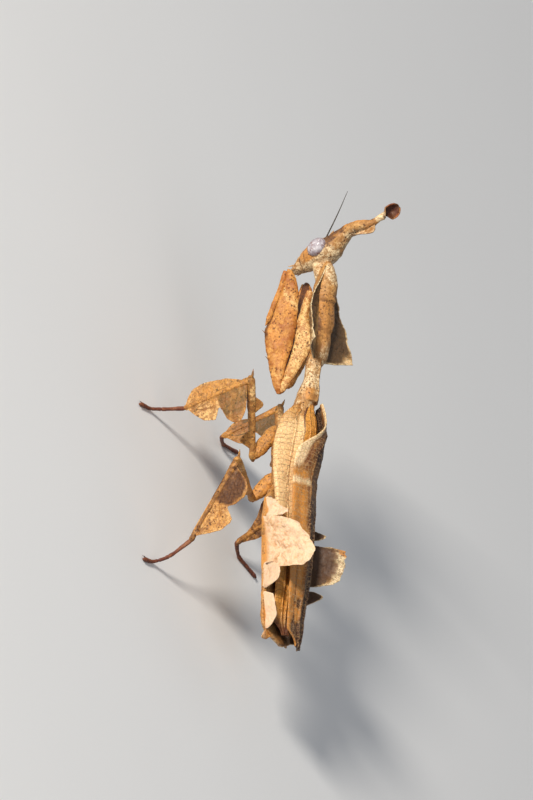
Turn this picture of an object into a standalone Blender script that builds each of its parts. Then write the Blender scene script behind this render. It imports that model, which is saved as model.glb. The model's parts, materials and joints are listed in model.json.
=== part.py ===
"""A female ghost mantis at life size, standing on the floor with her forelegs folded.

Lengths here are millimetres, and MM turns them into metres once every part is made. +X runs back to
the tail, the head is at -X, her left side is at -Y, and the floor is z = 0.
"""

import math

import bmesh
import bpy
import numpy as np
from mathutils import Matrix, Vector

MM = 0.001
GAP = 0.3
SHEET = 0.5
LEFT, RIGHT = -1.0, 1.0

# The origin lies on the floor under the middle of the whole animal
CENTRE_X = 0.77
CENTRE_Y = -3.21

# Trunk of the body
NECK_TOP = Vector((-16.6, 0.0, 17.75))
PRONOTUM_END = Vector((-2.55, 0.0, 13.8))
THORAX_START = -2.2
THORAX_END = 7.0
ABDOMEN_START = 7.3
ABDOMEN_END = 24.6

# Sheets of the folded wings: half width, height of the outer margin and of the ridge, along X
WING_ARCH = (
    (-1.9, 1.8, 12.8, 14.7),
    (-0.6, 2.35, 11.95, 14.85),
    (0.4, 2.8, 11.35, 14.9),
    (1.6, 3.05, 10.9, 14.85),
    (2.9, 3.3, 10.5, 14.4),
    (4.5, 3.45, 10.25, 13.8),
    (6.5, 3.5, 10.05, 12.95),
    (8.7, 3.45, 9.9, 12.45),
    (12.0, 3.3, 9.55, 11.8),
    (15.0, 3.2, 9.15, 11.15),
    (18.0, 2.9, 8.6, 10.3),
    (21.0, 2.65, 7.85, 9.45),
    (23.4, 2.5, 7.25, 8.85),
    (25.2, 1.9, 7.1, 8.4),
)
WING_STEP = 0.95
WING_THICK = 0.55
VEIN_RISE = 0.16
VEIN_HALF = 0.028

# Legs: joints from the body outwards, and the tip of the foot
LEGS = {
    "foreleg_L": ((-13.4, -1.3, 15.8), (-3.4, -1.5, 11.2), (-15.9, -2.9, 14.3)),
    "foreleg_R": ((-13.9, 1.3, 15.9), (-5.4, 1.75, 10.8), (-16.8, 2.9, 13.55)),
    "midleg_L": ((1.0, -1.6, 10.0), (3.7, -2.6, 7.45), (-2.35, -7.9, 10.75), (-1.4, -8.25, 2.86),
                 (-0.9, -13.3, 0.0)),
    "midleg_R": ((1.0, 1.6, 10.0), (3.7, 2.7, 7.45), (-5.1, 5.65, 7.5), (-3.04, 3.84, 1.19),
                 (-3.5, 9.5, 0.0)),
    "hindleg_L": ((6.2, -1.6, 9.2), (8.5, -2.8, 6.9), (8.2, -11.8, 9.9), (15.6, -11.95, 3.54),
                  (18.3, -16.7, 0.0)),
    "hindleg_R": ((6.2, 1.6, 9.2), (8.5, 2.8, 6.9), (3.9, 9.9, 6.6), (9.3, 4.4, 1.2),
                  (11.0, 10.2, 0.0)),
}

SPECKLED = (0.62, 0.30, 0.09)
PALE = (0.72, 0.52, 0.30)
BEIGE = (0.70, 0.48, 0.33)
BROWN = (0.30, 0.13, 0.05)
FOOT = (0.28, 0.09, 0.05)
EYE = (0.36, 0.31, 0.34)


def blend(rows, t):
    """Smooth values at t through rows of (t, value, ...), without overshoot."""
    table = np.asarray(rows, float)
    ts, values = table[:, 0], table[:, 1:]
    t = min(max(t, ts[0]), ts[-1])
    i = min(int(np.searchsorted(ts, t, side="right")) - 1, len(ts) - 2)
    slopes = np.diff(values, axis=0) / np.diff(ts)[:, None]

    def tangent(k):
        if k in (0, len(ts) - 1):
            return slopes[min(k, len(slopes) - 1)]
        a, b = slopes[k - 1], slopes[k]
        mean = 2 * a * b / np.where(a + b == 0, 1, a + b)
        return np.where(a * b > 0, mean, 0)

    h = ts[i + 1] - ts[i]
    s = (t - ts[i]) / h
    start = (1 + 2 * s) * (1 - s) ** 2 * values[i] + s * (1 - s) ** 2 * h * tangent(i)
    end = s * s * (3 - 2 * s) * values[i + 1] + s * s * (s - 1) * h * tangent(i + 1)
    return start + end


def step_up(t):
    """0 below 0, 1 above 1, smooth between."""
    t = min(max(t, 0.0), 1.0)
    return t * t * (3 - 2 * t)


def paint(obj, colour, roughness):
    material = bpy.data.materials.new(obj.name)
    material.use_nodes = True
    shader = material.node_tree.nodes["Principled BSDF"]
    shader.inputs["Base Color"].default_value = (*colour, 1.0)
    shader.inputs["Roughness"].default_value = roughness
    shader.inputs["Metallic"].default_value = 0.0
    obj.data.materials.clear()
    obj.data.materials.append(material)


def object_from(bm, name):
    """A new object in the work collection, its faces turned outwards."""
    bmesh.ops.triangulate(bm, faces=bm.faces)
    bmesh.ops.recalc_face_normals(bm, faces=bm.faces)
    mesh = bpy.data.meshes.new(name)
    bm.to_mesh(mesh)
    bm.free()
    obj = bpy.data.objects.new(name, mesh)
    work.objects.link(obj)
    return obj


def apply_modifiers(obj):
    graph = bpy.context.evaluated_depsgraph_get()
    mesh = bpy.data.meshes.new_from_object(obj.evaluated_get(graph))
    obj.modifiers.clear()
    obj.data = mesh


def keep_largest(mesh, weld):
    """Leaves only the largest closed surface of the mesh, with points nearer than weld made one."""
    bm = bmesh.new()
    bm.from_mesh(mesh)
    bmesh.ops.remove_doubles(bm, verts=bm.verts, dist=weld)
    bmesh.ops.dissolve_degenerate(bm, edges=bm.edges, dist=weld)
    bmesh.ops.triangulate(bm, faces=bm.faces)
    left, shells = set(bm.faces), []
    while left:
        queue, shell = [left.pop()], []
        while queue:
            face = queue.pop()
            shell.append(face)
            for edge in face.edges:
                for other in edge.link_faces:
                    if other in left:
                        left.remove(other)
                        queue.append(other)
        shells.append(shell)
    shells.sort(key=lambda shell: sum(face.calc_area() for face in shell))
    scraps = [face for shell in shells[:-1] for face in shell]
    bmesh.ops.delete(bm, geom=scraps, context="FACES")
    bmesh.ops.delete(bm, geom=[v for v in bm.verts if not v.link_faces], context="VERTS")
    bmesh.ops.recalc_face_normals(bm, faces=bm.faces)
    bm.to_mesh(mesh)
    bm.free()


def is_whole(mesh, least, most):
    """Whether the mesh is closed and its volume lies between the two."""
    bm = bmesh.new()
    bm.from_mesh(mesh)
    closed = len(bm.faces) > 0 and all(len(edge.link_faces) == 2 for edge in bm.edges)
    volume = abs(bm.calc_volume())
    bm.free()
    return closed and least <= volume <= most


def volume_of(obj):
    bm = bmesh.new()
    bm.from_mesh(obj.data)
    volume = abs(bm.calc_volume())
    bm.free()
    return volume


def run_boolean(obj, modifier, least, most):
    """Applies the Boolean by EXACT, or by MANIFOLD where EXACT leaves no closed body."""
    for solver in ("EXACT", "MANIFOLD"):
        modifier.solver = solver
        graph = bpy.context.evaluated_depsgraph_get()
        result = bpy.data.meshes.new_from_object(obj.evaluated_get(graph))
        for weld in (0.02, 0.008, 0.003, 0.0005):
            tried = result.copy()
            keep_largest(tried, weld)
            if is_whole(tried, least, most):
                obj.data = tried
                obj.modifiers.clear()
                return True
    obj.modifiers.clear()
    return False


def fuse(base, pieces):
    """Joins the pieces to the base with one Boolean union."""
    joined = bpy.data.collections.new("joined")
    bpy.context.scene.collection.children.link(joined)
    for piece in pieces:
        work.objects.unlink(piece)
        joined.objects.link(piece)
    union = base.modifiers.new("union", "BOOLEAN")
    union.operation = "UNION"
    union.operand_type = "COLLECTION"
    union.collection = joined
    whole = volume_of(base)
    if not run_boolean(base, union, whole * 0.99, whole + sum(map(volume_of, pieces))):
        raise RuntimeError(f"the union of {base.name} isn't closed")
    for piece in pieces:
        bpy.data.objects.remove(piece)
    bpy.data.collections.remove(joined)
    return base


def swollen(obj, gap):
    """A cutter: the object's shape grown by the gap."""
    bm = bmesh.new()
    bm.from_mesh(obj.data)
    bmesh.ops.recalc_face_normals(bm, faces=bm.faces)
    moved = [vert.co + vert.normal * gap * min(vert.calc_shell_factor(), 1.6) for vert in bm.verts]
    for vert, place in zip(bm.verts, moved):
        vert.co = place
    cutter = object_from(bm, "cutter")
    cutter.hide_render = True
    cutter.display_type = "WIRE"
    return cutter


def cut_clear(obj, neighbours):
    """Cuts the object back so that it keeps the gap to each neighbour."""
    for neighbour in neighbours:
        whole = volume_of(obj)
        for gap in (GAP, GAP * 1.08, GAP * 0.94, GAP * 1.2):
            cutter = swollen(neighbour, gap)
            cut = obj.modifiers.new("cut", "BOOLEAN")
            cut.operation = "DIFFERENCE"
            cut.object = cutter
            done = run_boolean(obj, cut, whole * 0.1, whole * 1.001)
            bpy.data.objects.remove(cutter)
            if done:
                break
        else:
            raise RuntimeError(f"{obj.name} can't be cut clear of {neighbour.name}")
    return obj


def loft(name, rings):
    """A closed solid through rings of points, each with the same number of points."""
    bm = bmesh.new()
    loops = [[bm.verts.new(Vector(point)) for point in ring] for ring in rings]
    for lower, upper in zip(loops, loops[1:]):
        for i, vert in enumerate(lower):
            j = (i + 1) % len(lower)
            bm.faces.new((vert, lower[j], upper[j], upper[i]))
    bm.faces.new(loops[0][::-1])
    bm.faces.new(loops[-1])
    return object_from(bm, name)


def section(centre, side, up, width, rise, drop, sides, square=1.0):
    """A ring round the centre: half width each way, rise above it and drop below it."""
    points = []
    for k in range(sides):
        angle = 2 * math.pi * (k + 0.5) / sides
        across, along = math.cos(angle), math.sin(angle)
        across = math.copysign(abs(across) ** square, across)
        along = math.copysign(abs(along) ** square, along)
        points.append(centre + side * width * across + up * (rise if along > 0 else drop) * along)
    return points


def frame_of(direction, up):
    """The side and up directions square to the given direction."""
    forward = direction.normalized()
    side = forward.cross(up).normalized()
    return side, side.cross(forward).normalized()


def limb(name, joints, up, profile, sides=8, steps=9, bow=None):
    """A leg segment: profile rows give (t, rise, drop, half width) from its first joint to its last."""
    lengths = [0.0]
    for a, b in zip(joints, joints[1:]):
        lengths.append(lengths[-1] + (Vector(b) - Vector(a)).length)
    route = [(length / lengths[-1], *joint) for length, joint in zip(lengths, joints)]
    start, end = profile[0][0], profile[-1][0]
    rings = []
    for k in range(steps + 1):
        t = start + (end - start) * (0.5 - 0.5 * math.cos(math.pi * k / steps))
        inside = min(max(t, 0.0), 1.0)
        centre = Vector(blend(route, inside))
        ahead = Vector(blend(route, min(inside + 0.02, 1.0))) - Vector(blend(route, max(inside - 0.02, 0.0)))
        centre += ahead.normalized() * (t - inside) * lengths[-1]
        side, above = frame_of(ahead, up)
        if bow is not None:
            centre += bow * math.sin(math.pi * inside)
        rise, drop, width = blend(profile, t)
        rings.append(section(centre, side, above, width, rise, drop, sides))
    return loft(name, rings)


def flap(name, root, out, heights, cup=0.0, skew=0.0, fan=0.0, ripple=0.0, columns=8, rows=3,
         sink=0.35, thick=SHEET, phase=0.0):
    """A leafy lobe: a sheet that stands on the root line and reaches out by the heights.

    Skew slants it along the root line, and fan spreads its two ends apart.
    """
    first, last = Vector(root[0]), Vector(root[1])
    along = (last - first).normalized()
    out = (out - along * out.dot(along)).normalized()
    normal = along.cross(out)
    bm = bmesh.new()
    bmesh.ops.create_grid(bm, x_segments=columns, y_segments=rows, size=0.5)
    for vert in bm.verts:
        u, v = vert.co.x + 0.5, vert.co.y + 0.5
        height = float(blend(heights, u)[0])
        reach = -sink + v * (height + sink)
        lift = max(reach, 0.0)
        wave = ripple * math.sin(7.0 * u + phase) * lift / (1.0 + lift)
        place = first.lerp(last, u) + out * reach + along * (skew + fan * (u - 0.5)) * lift
        vert.co = place + normal * (cup * lift * lift + wave)
    bmesh.ops.triangulate(bm, faces=bm.faces)
    obj = object_from(bm, name)
    solid = obj.modifiers.new("thickness", "SOLIDIFY")
    solid.thickness = thick
    solid.offset = 0.0
    apply_modifiers(obj)
    tidy_normals(obj)
    return obj


def tidy_normals(obj):
    bm = bmesh.new()
    bm.from_mesh(obj.data)
    bmesh.ops.recalc_face_normals(bm, faces=bm.faces)
    bm.to_mesh(obj.data)
    bm.free()


def spine(name, base, direction, length, radius, sides=4):
    """A tapered spine whose root is sunk by half its radius more than its width."""
    bm = bmesh.new()
    bmesh.ops.create_cone(bm, cap_ends=True, segments=sides, radius1=radius, radius2=0.08,
                          depth=length)
    turn = Vector((0, 0, 1)).rotation_difference(direction.normalized()).to_matrix()
    bmesh.ops.rotate(bm, verts=bm.verts, cent=(0, 0, 0), matrix=turn)
    middle = Vector(base) + direction.normalized() * (length / 2 - radius)
    bmesh.ops.translate(bm, verts=bm.verts, vec=middle)
    return object_from(bm, name)


def ball(name, centre, radii, tilt=0.0, across=12, high=8):
    """An ellipsoid, tilted about Y."""
    bm = bmesh.new()
    bmesh.ops.create_uvsphere(bm, u_segments=across, v_segments=high, radius=1.0)
    bmesh.ops.scale(bm, verts=bm.verts, vec=radii)
    for vert in bm.verts:
        x, z = vert.co.x, vert.co.z
        vert.co.x = x * math.cos(tilt) + z * math.sin(tilt)
        vert.co.z = z * math.cos(tilt) - x * math.sin(tilt)
        vert.co += Vector(centre)
    return object_from(bm, name)


# Wings

def wing_outer(x, angle, depth):
    """A point of the wing arch: angle 0 is the left margin, 90 the ridge, 180 the right margin."""
    width, low, high = blend(WING_ARCH, x)
    across, up = math.cos(math.radians(angle)), math.sin(math.radians(angle))
    return Vector((x, -(width - depth) * across, low + (high - depth - low) * max(up, 0.0) ** 1.1))


def wing_fall(angle):
    """How far the left wing lies under the arch, so that it slips below the right one."""
    return WING_STEP * min(max((angle - 10.0) / 28.0, 0.0), 1.0)


def wing_marks(veins):
    """Places across a wing: its veins with their flanks, both rims, and no stretch wider than a ninth."""
    marks = [0.0, 1.0]
    for place in veins:
        marks += [place - VEIN_HALF, place, place + VEIN_HALF]
    marks.sort()
    filled = [0.0]
    for a, b in zip(marks, marks[1:]):
        pieces = math.ceil((b - a) * 9)
        filled += [a + (b - a) * k / pieces for k in range(1, pieces + 1)]
    return filled


def wing(name, side, start, end, inner, veins, columns=16):
    """One folded fore wing: a sheet from its outer margin over the ridge, with raised veins."""
    rings = []
    for k in range(columns + 1):
        x = start + (end - start) * k / columns
        tip = step_up((x - end + 1.5) / 1.5)
        base = 1.0 - step_up((x - start) / 1.8)
        low = 42.0 * tip + 26.0 * base
        reach = float(blend(inner, x)[0]) * (1 - tip) + 88.0 * tip
        upper, under = [], []
        for v in wing_marks(veins):
            angle = low + (reach - low) * v
            depth = wing_fall(angle) if side == LEFT else -0.3 * step_up((v - 0.85) / 0.15) * (1 - tip)
            rise = VEIN_RISE if v in veins else 0.0
            turn = angle if side == LEFT else 180.0 - angle
            upper.append(wing_outer(x, turn, depth - rise))
            under.append(wing_outer(x, turn, depth + WING_THICK))
        rings.append(upper + under[::-1])
    return loft(name, rings)


def make_wings():
    inner_left = ((-1.9, 100.0), (4.0, 118.0), (23.4, 118.0))
    inner_right = ((-1.5, 70.0), (0.0, 76.0), (1.3, 87.0), (2.6, 105.0), (3.4, 123.0), (4.1, 135.0),
                   (5.0, 138.0), (15.0, 138.0), (20.0, 132.0), (24.9, 126.0))
    left = wing("tegmen_L", LEFT, -1.7, 23.9, inner_left, (0.16, 0.31))
    right = wing("tegmen_R", RIGHT, -1.5, 25.0, inner_right, (0.14, 0.28, 0.45, 0.66))
    paint(left, PALE, 0.6)
    paint(right, BROWN, 0.6)
    return left, right


# Prothorax with its leafy shield

def pronotum_axis(t):
    return NECK_TOP.lerp(PRONOTUM_END, t)


def make_pronotum():
    profile = (
        (0.0, 0.30, 0.30, 0.45),
        (0.03, 0.78, 0.55, 0.85),
        (0.10, 1.12, 0.9, 1.15),
        (0.2, 1.27, 1.25, 1.35),
        (0.30, 1.15, 1.25, 1.3),
        (0.36, 0.62, 1.1, 1.05),
        (0.46, 0.82, 1.0, 1.0),
        (0.70, 0.66, 1.0, 0.85),
        (0.86, 0.66, 0.95, 0.85),
        (1.0, 0.9, 1.25, 1.15),
    )
    body = limb("pronotum", (NECK_TOP, PRONOTUM_END), Vector((0, 0, 1)), profile, sides=12, steps=18)
    widths = ((0.0, 0.8), (0.12, 1.3), (0.28, 2.15), (0.45, 3.15), (0.62, 3.95), (0.8, 4.3), (1.0, 4.5))
    raises = ((0.0, -0.1), (0.4, 0.0), (0.6, 0.55), (0.75, 1.0), (1.0, 1.85))
    side, up = frame_of(PRONOTUM_END - NECK_TOP, Vector((0, 0, 1)))
    bm = bmesh.new()
    bmesh.ops.create_grid(bm, x_segments=14, y_segments=12, size=0.5)
    for vert in bm.verts:
        u, s = vert.co.x + 0.5, 2 * vert.co.y
        t = 0.02 + u * (0.735 - 0.085 * abs(s))
        width = float(blend(widths, u)[0])
        edge = 1.0 + 0.05 * math.sin(23.0 * u) * abs(s) ** 3
        lift = float(blend(raises, u)[0]) * abs(s) ** 1.8
        place = pronotum_axis(t) + side * s * width * edge + up * (0.1 + lift)
        vert.co = place
    shield = object_from(bm, "shield")
    solid = shield.modifiers.new("thickness", "SOLIDIFY")
    solid.thickness = SHEET
    solid.offset = 0.0
    apply_modifiers(shield)
    tidy_normals(shield)
    fuse(body, [shield])
    paint(body, SPECKLED, 0.6)
    return body


THORAX_FLOOR = ((-2.2, 12.2), (-1.4, 11.5), (0.0, 10.2), (1.5, 9.4), (3.5, 9.0), (5.5, 8.8), (7.0, 8.7))


def make_thorax():
    """The thorax fills the space under the wings, and meets each of them with the gap."""
    rings = []
    for k in range(15):
        x = THORAX_START + (THORAX_END - THORAX_START) * k / 14
        floor = float(blend(THORAX_FLOOR, x)[0])
        clear = WING_THICK + GAP + 0.45 * (1 - step_up((x - THORAX_START) / 2.5))
        ring = []
        for angle in (0, 20, 42, 62, 82, 102, 128, 146, 163, 180):
            under = wing_fall(angle) * (1 - step_up((angle - 128.0) / 14.0))
            ring.append(wing_outer(x, angle, clear + under))
        width, middle = ring[-1].y, ring[-1].z
        for angle in (150, 120, 90, 60, 30):
            turn = math.radians(angle)
            ring.append(Vector((x, -width * math.cos(turn), middle - (middle - floor) * math.sin(turn))))
        rings.append(ring)
    thorax = loft("thorax", rings)
    paint(thorax, SPECKLED, 0.6)
    return thorax


# Abdomen with its side lobes

ABDOMEN = (
    (ABDOMEN_START, 9.65, 2.3, 1.0, 1.15),
    (8.4, 9.35, 3.3, 0.75, 1.25),
    (9.8, 9.05, 4.0, 0.7, 1.25),
    (11.5, 8.75, 4.15, 0.7, 1.2),
    (14.0, 8.4, 4.15, 0.65, 1.15),
    (18.4, 7.65, 3.85, 0.45, 1.1),
    (21.0, 7.05, 3.5, 0.3, 1.0),
    (23.0, 6.65, 3.15, 0.25, 0.75),
    (23.8, 6.7, 2.0, 0.25, 0.5),
    (24.6, 6.9, 0.6, 0.25, 0.35),
)


def margin(x, side):
    """A point of the abdomen's side margin."""
    height, width = blend(ABDOMEN, x)[:2]
    return Vector((x, side * float(width), float(height)))


def make_abdomen():
    rings = []
    for k in range(21):
        x = ABDOMEN_START + (ABDOMEN_END - ABDOMEN_START) * k / 20
        height, width, rise, drop = blend(ABDOMEN, x)
        ring_notch = 1.0 + 0.03 * math.cos(2 * math.pi * (x - ABDOMEN_START) / 2.1)
        rings.append(section(Vector((x, 0, height)), Vector((0, 1, 0)), Vector((0, 0, 1)),
                             width, rise, drop * ring_notch, 14))
    abdomen = loft("abdomen", rings)
    upright, leaning = 11.0, 36.0
    lobes = []

    def add(name, side, x1, x2, lean, heights, **shape):
        out = Vector((0, side * math.sin(math.radians(lean)), math.cos(math.radians(lean))))
        lobes.append(flap(name, (margin(x1, side), margin(x2, side)), out, heights, **shape))

    front = ((0.0, 0.4), (0.15, 2.0), (0.6, 1.5), (1.0, 0.4))
    big_left = ((0.0, 0.4), (0.07, 1.6), (0.15, 3.0), (0.28, 4.6), (0.47, 5.5), (0.78, 6.5), (0.92, 6.2),
                (1.0, 5.2))
    big_right = ((0.0, 3.4), (0.06, 4.9), (0.3, 4.9), (0.65, 4.5), (0.85, 3.9), (1.0, 1.6))
    middle = ((0.0, 0.4), (0.15, 1.7), (0.45, 3.0), (0.7, 2.8), (1.0, 0.6))
    pointed = ((0.0, 1.6), (0.2, 2.6), (0.6, 1.7), (1.0, 0.4))
    strip = ((0.0, 0.3), (0.12, 1.4), (0.6, 1.7), (0.9, 0.9), (1.0, 0.3))
    low = ((0.0, 0.3), (0.2, 0.8), (0.9, 0.6), (1.0, 0.3))
    add("lobe_a", LEFT, 9.7, 11.1, upright, front, skew=0.2, columns=5)
    add("lobe_b", LEFT, 11.35, 17.3, upright, big_left, skew=0.06, fan=0.1, ripple=0.25, columns=12, rows=4)
    add("lobe_c", LEFT, 16.7, 19.3, 2.6 * upright, middle, fan=0.3, columns=6)
    add("lobe_d", LEFT, 19.7, 23.4, 1.8 * upright, strip, ripple=0.1, columns=7)
    add("lobe_e", RIGHT, 9.9, 11.3, leaning, front, skew=0.3, columns=5)
    add("lobe_f", RIGHT, 11.9, 16.6, leaning, big_right, skew=0.06, ripple=0.3, columns=12, rows=4, phase=1.0)
    add("lobe_g", RIGHT, 17.0, 19.0, leaning, pointed, columns=5)
    add("lobe_h", RIGHT, 19.4, 23.4, leaning, low, columns=6)
    for side, reach in ((LEFT, 2.6), (RIGHT, 1.1)):
        root = (Vector((22.9, side * 1.7, 6.65)), Vector((23.7, side * 1.2, 6.6)))
        lobes.append(flap("tail_lobe", root, Vector((0.53, side * 0.82, -0.25)),
                          ((0.0, reach * 0.5), (0.45, reach), (1.0, reach * 0.6)), cup=0.08 * side, columns=4))
    fuse(abdomen, lobes)
    paint(abdomen, BEIGE, 0.65)
    return abdomen


# Head

HEAD = (
    (13.5, -17.5, -16.95, 0.45),
    (14.3, -18.15, -16.85, 0.85),
    (15.1, -18.85, -16.8, 1.2),
    (16.4, -19.55, -16.85, 1.6),
    (17.8, -19.7, -16.95, 1.75),
    (18.9, -19.85, -17.4, 1.45),
    (19.9, -20.25, -18.4, 1.2),
    (20.9, -20.45, -19.2, 1.05),
    (22.0, -20.4, -19.2, 1.1),
    (23.0, -20.1, -19.15, 0.9),
    (23.6, -20.15, -19.5, 0.45),
    (24.4, -20.6, -19.75, 0.5),
    (25.5, -20.95, -19.95, 0.7),
    (26.3, -21.15, -20.05, 0.7),
    (26.9, -20.9, -20.35, 0.3),
)


def make_eye(name, side):
    eye = ball(name, (-18.4, side * 1.55, 17.35), (0.85, 0.78, 1.12), tilt=-0.5)
    paint(eye, EYE, 0.25)
    return eye


def make_head(eyes):
    rings = []
    bottom, top = HEAD[0][0], HEAD[-1][0]
    for k in range(27):
        z = bottom + (top - bottom) * k / 26
        front, back, width = blend(HEAD, z)
        centre = Vector(((front + back) / 2, 0, z))
        depth = (back - front) / 2
        rings.append(section(centre, Vector((0, 1, 0)), Vector((1, 0, 0)), width, depth, depth, 14))
    head = loft("head", rings)
    pieces = [flap("crest_lobe", (Vector((-19.2, 0, 21.6)), Vector((-19.3, 0, 23.2))), Vector((0.6, -0.3, 1.0)),
                   ((0.0, 0.2), (0.6, 0.55), (1.0, 0.55)), columns=4, rows=2)]
    for side in (LEFT, RIGHT):
        pieces.append(spine("palp", (-17.6, side * 0.55, 14.6), Vector((0.35, side * 0.25, -1.0)), 1.3, 0.26, 5))
        pieces.append(spine("horn", (-19.55, side * 0.75, 18.9), Vector((-0.5, side * 0.5, 0.8)), 0.9, 0.3, 5))
    fuse(head, pieces)
    cut_clear(head, eyes)
    paint(head, SPECKLED, 0.6)
    return head


def make_antenna(name, side, tip, head):
    base = Vector((-19.0, side * 0.75, 17.9))
    tip = Vector(tip)
    feeler = limb(name, (base, base.lerp(tip, 0.5) + Vector((-0.15, 0, 0.2)), tip), Vector((0, 1, 0)),
                  ((0.0, 0.3, 0.3, 0.3), (0.12, 0.3, 0.3, 0.3), (0.2, 0.25, 0.25, 0.25),
                   (0.8, 0.25, 0.25, 0.25), (1.0, 0.1, 0.1, 0.1)), sides=6, steps=8)
    cut_clear(feeler, [head])
    paint(feeler, FOOT, 0.5)
    return feeler


def make_neck(head, pronotum):
    neck = limb("neck", ((-17.8, 0, 16.7), (-14.8, 0, 17.0)), Vector((0, 0, 1)),
                ((0.0, 0.75, 0.75, 0.8), (1.0, 0.75, 0.75, 0.8)), sides=12, steps=3)
    cut_clear(neck, [head, pronotum])
    paint(neck, PALE, 0.6)
    return neck


# Legs

def make_foreleg(name, side):
    root, elbow, knee = (Vector(joint) for joint in LEGS[name])
    up = Vector((0.0, -0.3 * side, 0.95))
    coxa = limb(name + "_coxa", (root, elbow), up,
                ((-0.02, 0.4, 0.4, 0.4), (0.1, 0.35, 0.6, 0.5), (0.18, 0.35, 0.65, 0.5),
                 (0.28, 0.6, 0.72, 0.5), (0.38, 1.1, 0.65, 0.5), (0.46, 1.7, 0.55, 0.5),
                 (0.54, 1.5, 0.45, 0.5), (0.7, 1.15, 0.35, 0.45), (0.8, 0.92, 0.35, 0.42),
                 (0.93, 0.6, 0.35, 0.38), (0.97, 0.4, 0.3, 0.35)),
                steps=14, bow=up * 0.35)
    femur = limb(name + "_femur", (elbow + Vector((0.2, 0, -0.3)), knee), up,
                 ((0.0, 0.3, 0.35, 0.3), (0.03, 0.45, 0.6, 0.45), (0.1, 0.3, 0.95, 0.45),
                  (0.23, 0.55, 1.4, 0.45), (0.37, 0.98, 1.8, 0.5), (0.50, 1.22, 2.05, 0.5),
                  (0.60, 1.33, 1.55, 0.5), (0.74, 1.33, 1.0, 0.45), (0.85, 1.22, 0.5, 0.45),
                  (0.93, 1.08, 0.25, 0.45), (1.0, 0.6, 0.15, 0.3)), sides=8, steps=14)
    shin_side, above = frame_of(knee - elbow, up)
    reach = knee - elbow
    bend = [elbow + reach * t - above * drop for t, drop in ((0.985, 0.35), (0.85, 0.85), (0.74, 1.4),
                                                            (0.60, 2.0), (0.54, 2.3))]
    tibia = limb(name + "_tibia", bend, up,
                 ((-0.04, 0.25, 0.25, 0.3), (0.1, 0.33, 0.33, 0.38), (0.5, 0.33, 0.33, 0.38),
                  (0.85, 0.3, 0.3, 0.33), (1.0, 0.12, 0.12, 0.12)), steps=10)
    inward = shin_side if shin_side.y * side < 0 else -shin_side
    start = bend[3] + inward * 0.45
    foot_route = [start, start + inward * 0.4 - reach * 0.05 - above * 0.15,
                  elbow + reach * 0.25 - above * 1.65 + inward * 1.15]
    tarsus = limb(name + "_tarsus", foot_route, up,
                  ((0.0, 0.26, 0.26, 0.26), (0.9, 0.25, 0.25, 0.25), (1.0, 0.12, 0.12, 0.12)),
                  sides=6, steps=8)
    spines = []
    for k in range(6):
        t = 0.16 + 0.06 * k
        drop = float(blend(((0.1, 1.0), (0.23, 1.4), (0.37, 1.8), (0.5, 2.05)), t)[0])
        base = elbow + reach * t - above * (drop - 0.1) + Vector((0.2, 0, -0.3)) * (1 - t)
        spines.append(spine("spine", base + above * 0.15 + inward * 0.2,
                            inward * 0.5 - above * 0.85 + reach.normalized() * 0.4, 0.6, 0.2))
    fuse(femur, spines)
    cut_clear(coxa, [femur])
    cut_clear(tibia, [femur])
    cut_clear(tarsus, [femur, tibia])
    for piece in (coxa, femur, tibia):
        paint(piece, SPECKLED, 0.6)
    paint(tarsus, FOOT, 0.5)
    return coxa, femur, tibia, tarsus


def make_foot(name, ankle, tip, tibia, sag):
    """The tarsus slopes down from the ankle, sags towards the tail and lies flat on the floor at its end."""
    ankle, tip = Vector(ankle), Vector(tip)
    run = Vector((tip.x - ankle.x, tip.y - ankle.y, 0))
    radius = 0.28
    fall = min(0.62, 0.25 + ankle.z * 0.13)
    joints = [ankle, ankle + run * fall * 0.55 + Vector((sag, 0, -(ankle.z - radius) * 0.68)),
              ankle + run * fall + Vector((sag * 0.8, 0, radius - ankle.z)), tip + Vector((0, 0, radius))]
    foot = limb(name, joints, Vector((0, 0, 1)),
                ((-0.02, 0.2, 0.2, 0.2), (0.03, 0.3, 0.3, 0.3), (0.3, 0.28, 0.28, 0.28), (0.5, 0.3, 0.28, 0.3),
                 (0.75, 0.28, 0.28, 0.28), (0.92, 0.3, 0.28, 0.36), (1.0, 0.15, 0.28, 0.2)),
                sides=8, steps=12)
    bm = bmesh.new()
    bm.from_mesh(foot.data)
    sole = 0.06
    for vert in bm.verts:
        if vert.co.z < sole + 0.04:
            vert.co.z = sole
        vert.co.z -= sole
    bm.to_mesh(foot.data)
    bm.free()
    cut_clear(foot, [tibia])
    paint(foot, FOOT, 0.5)
    return foot


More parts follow.
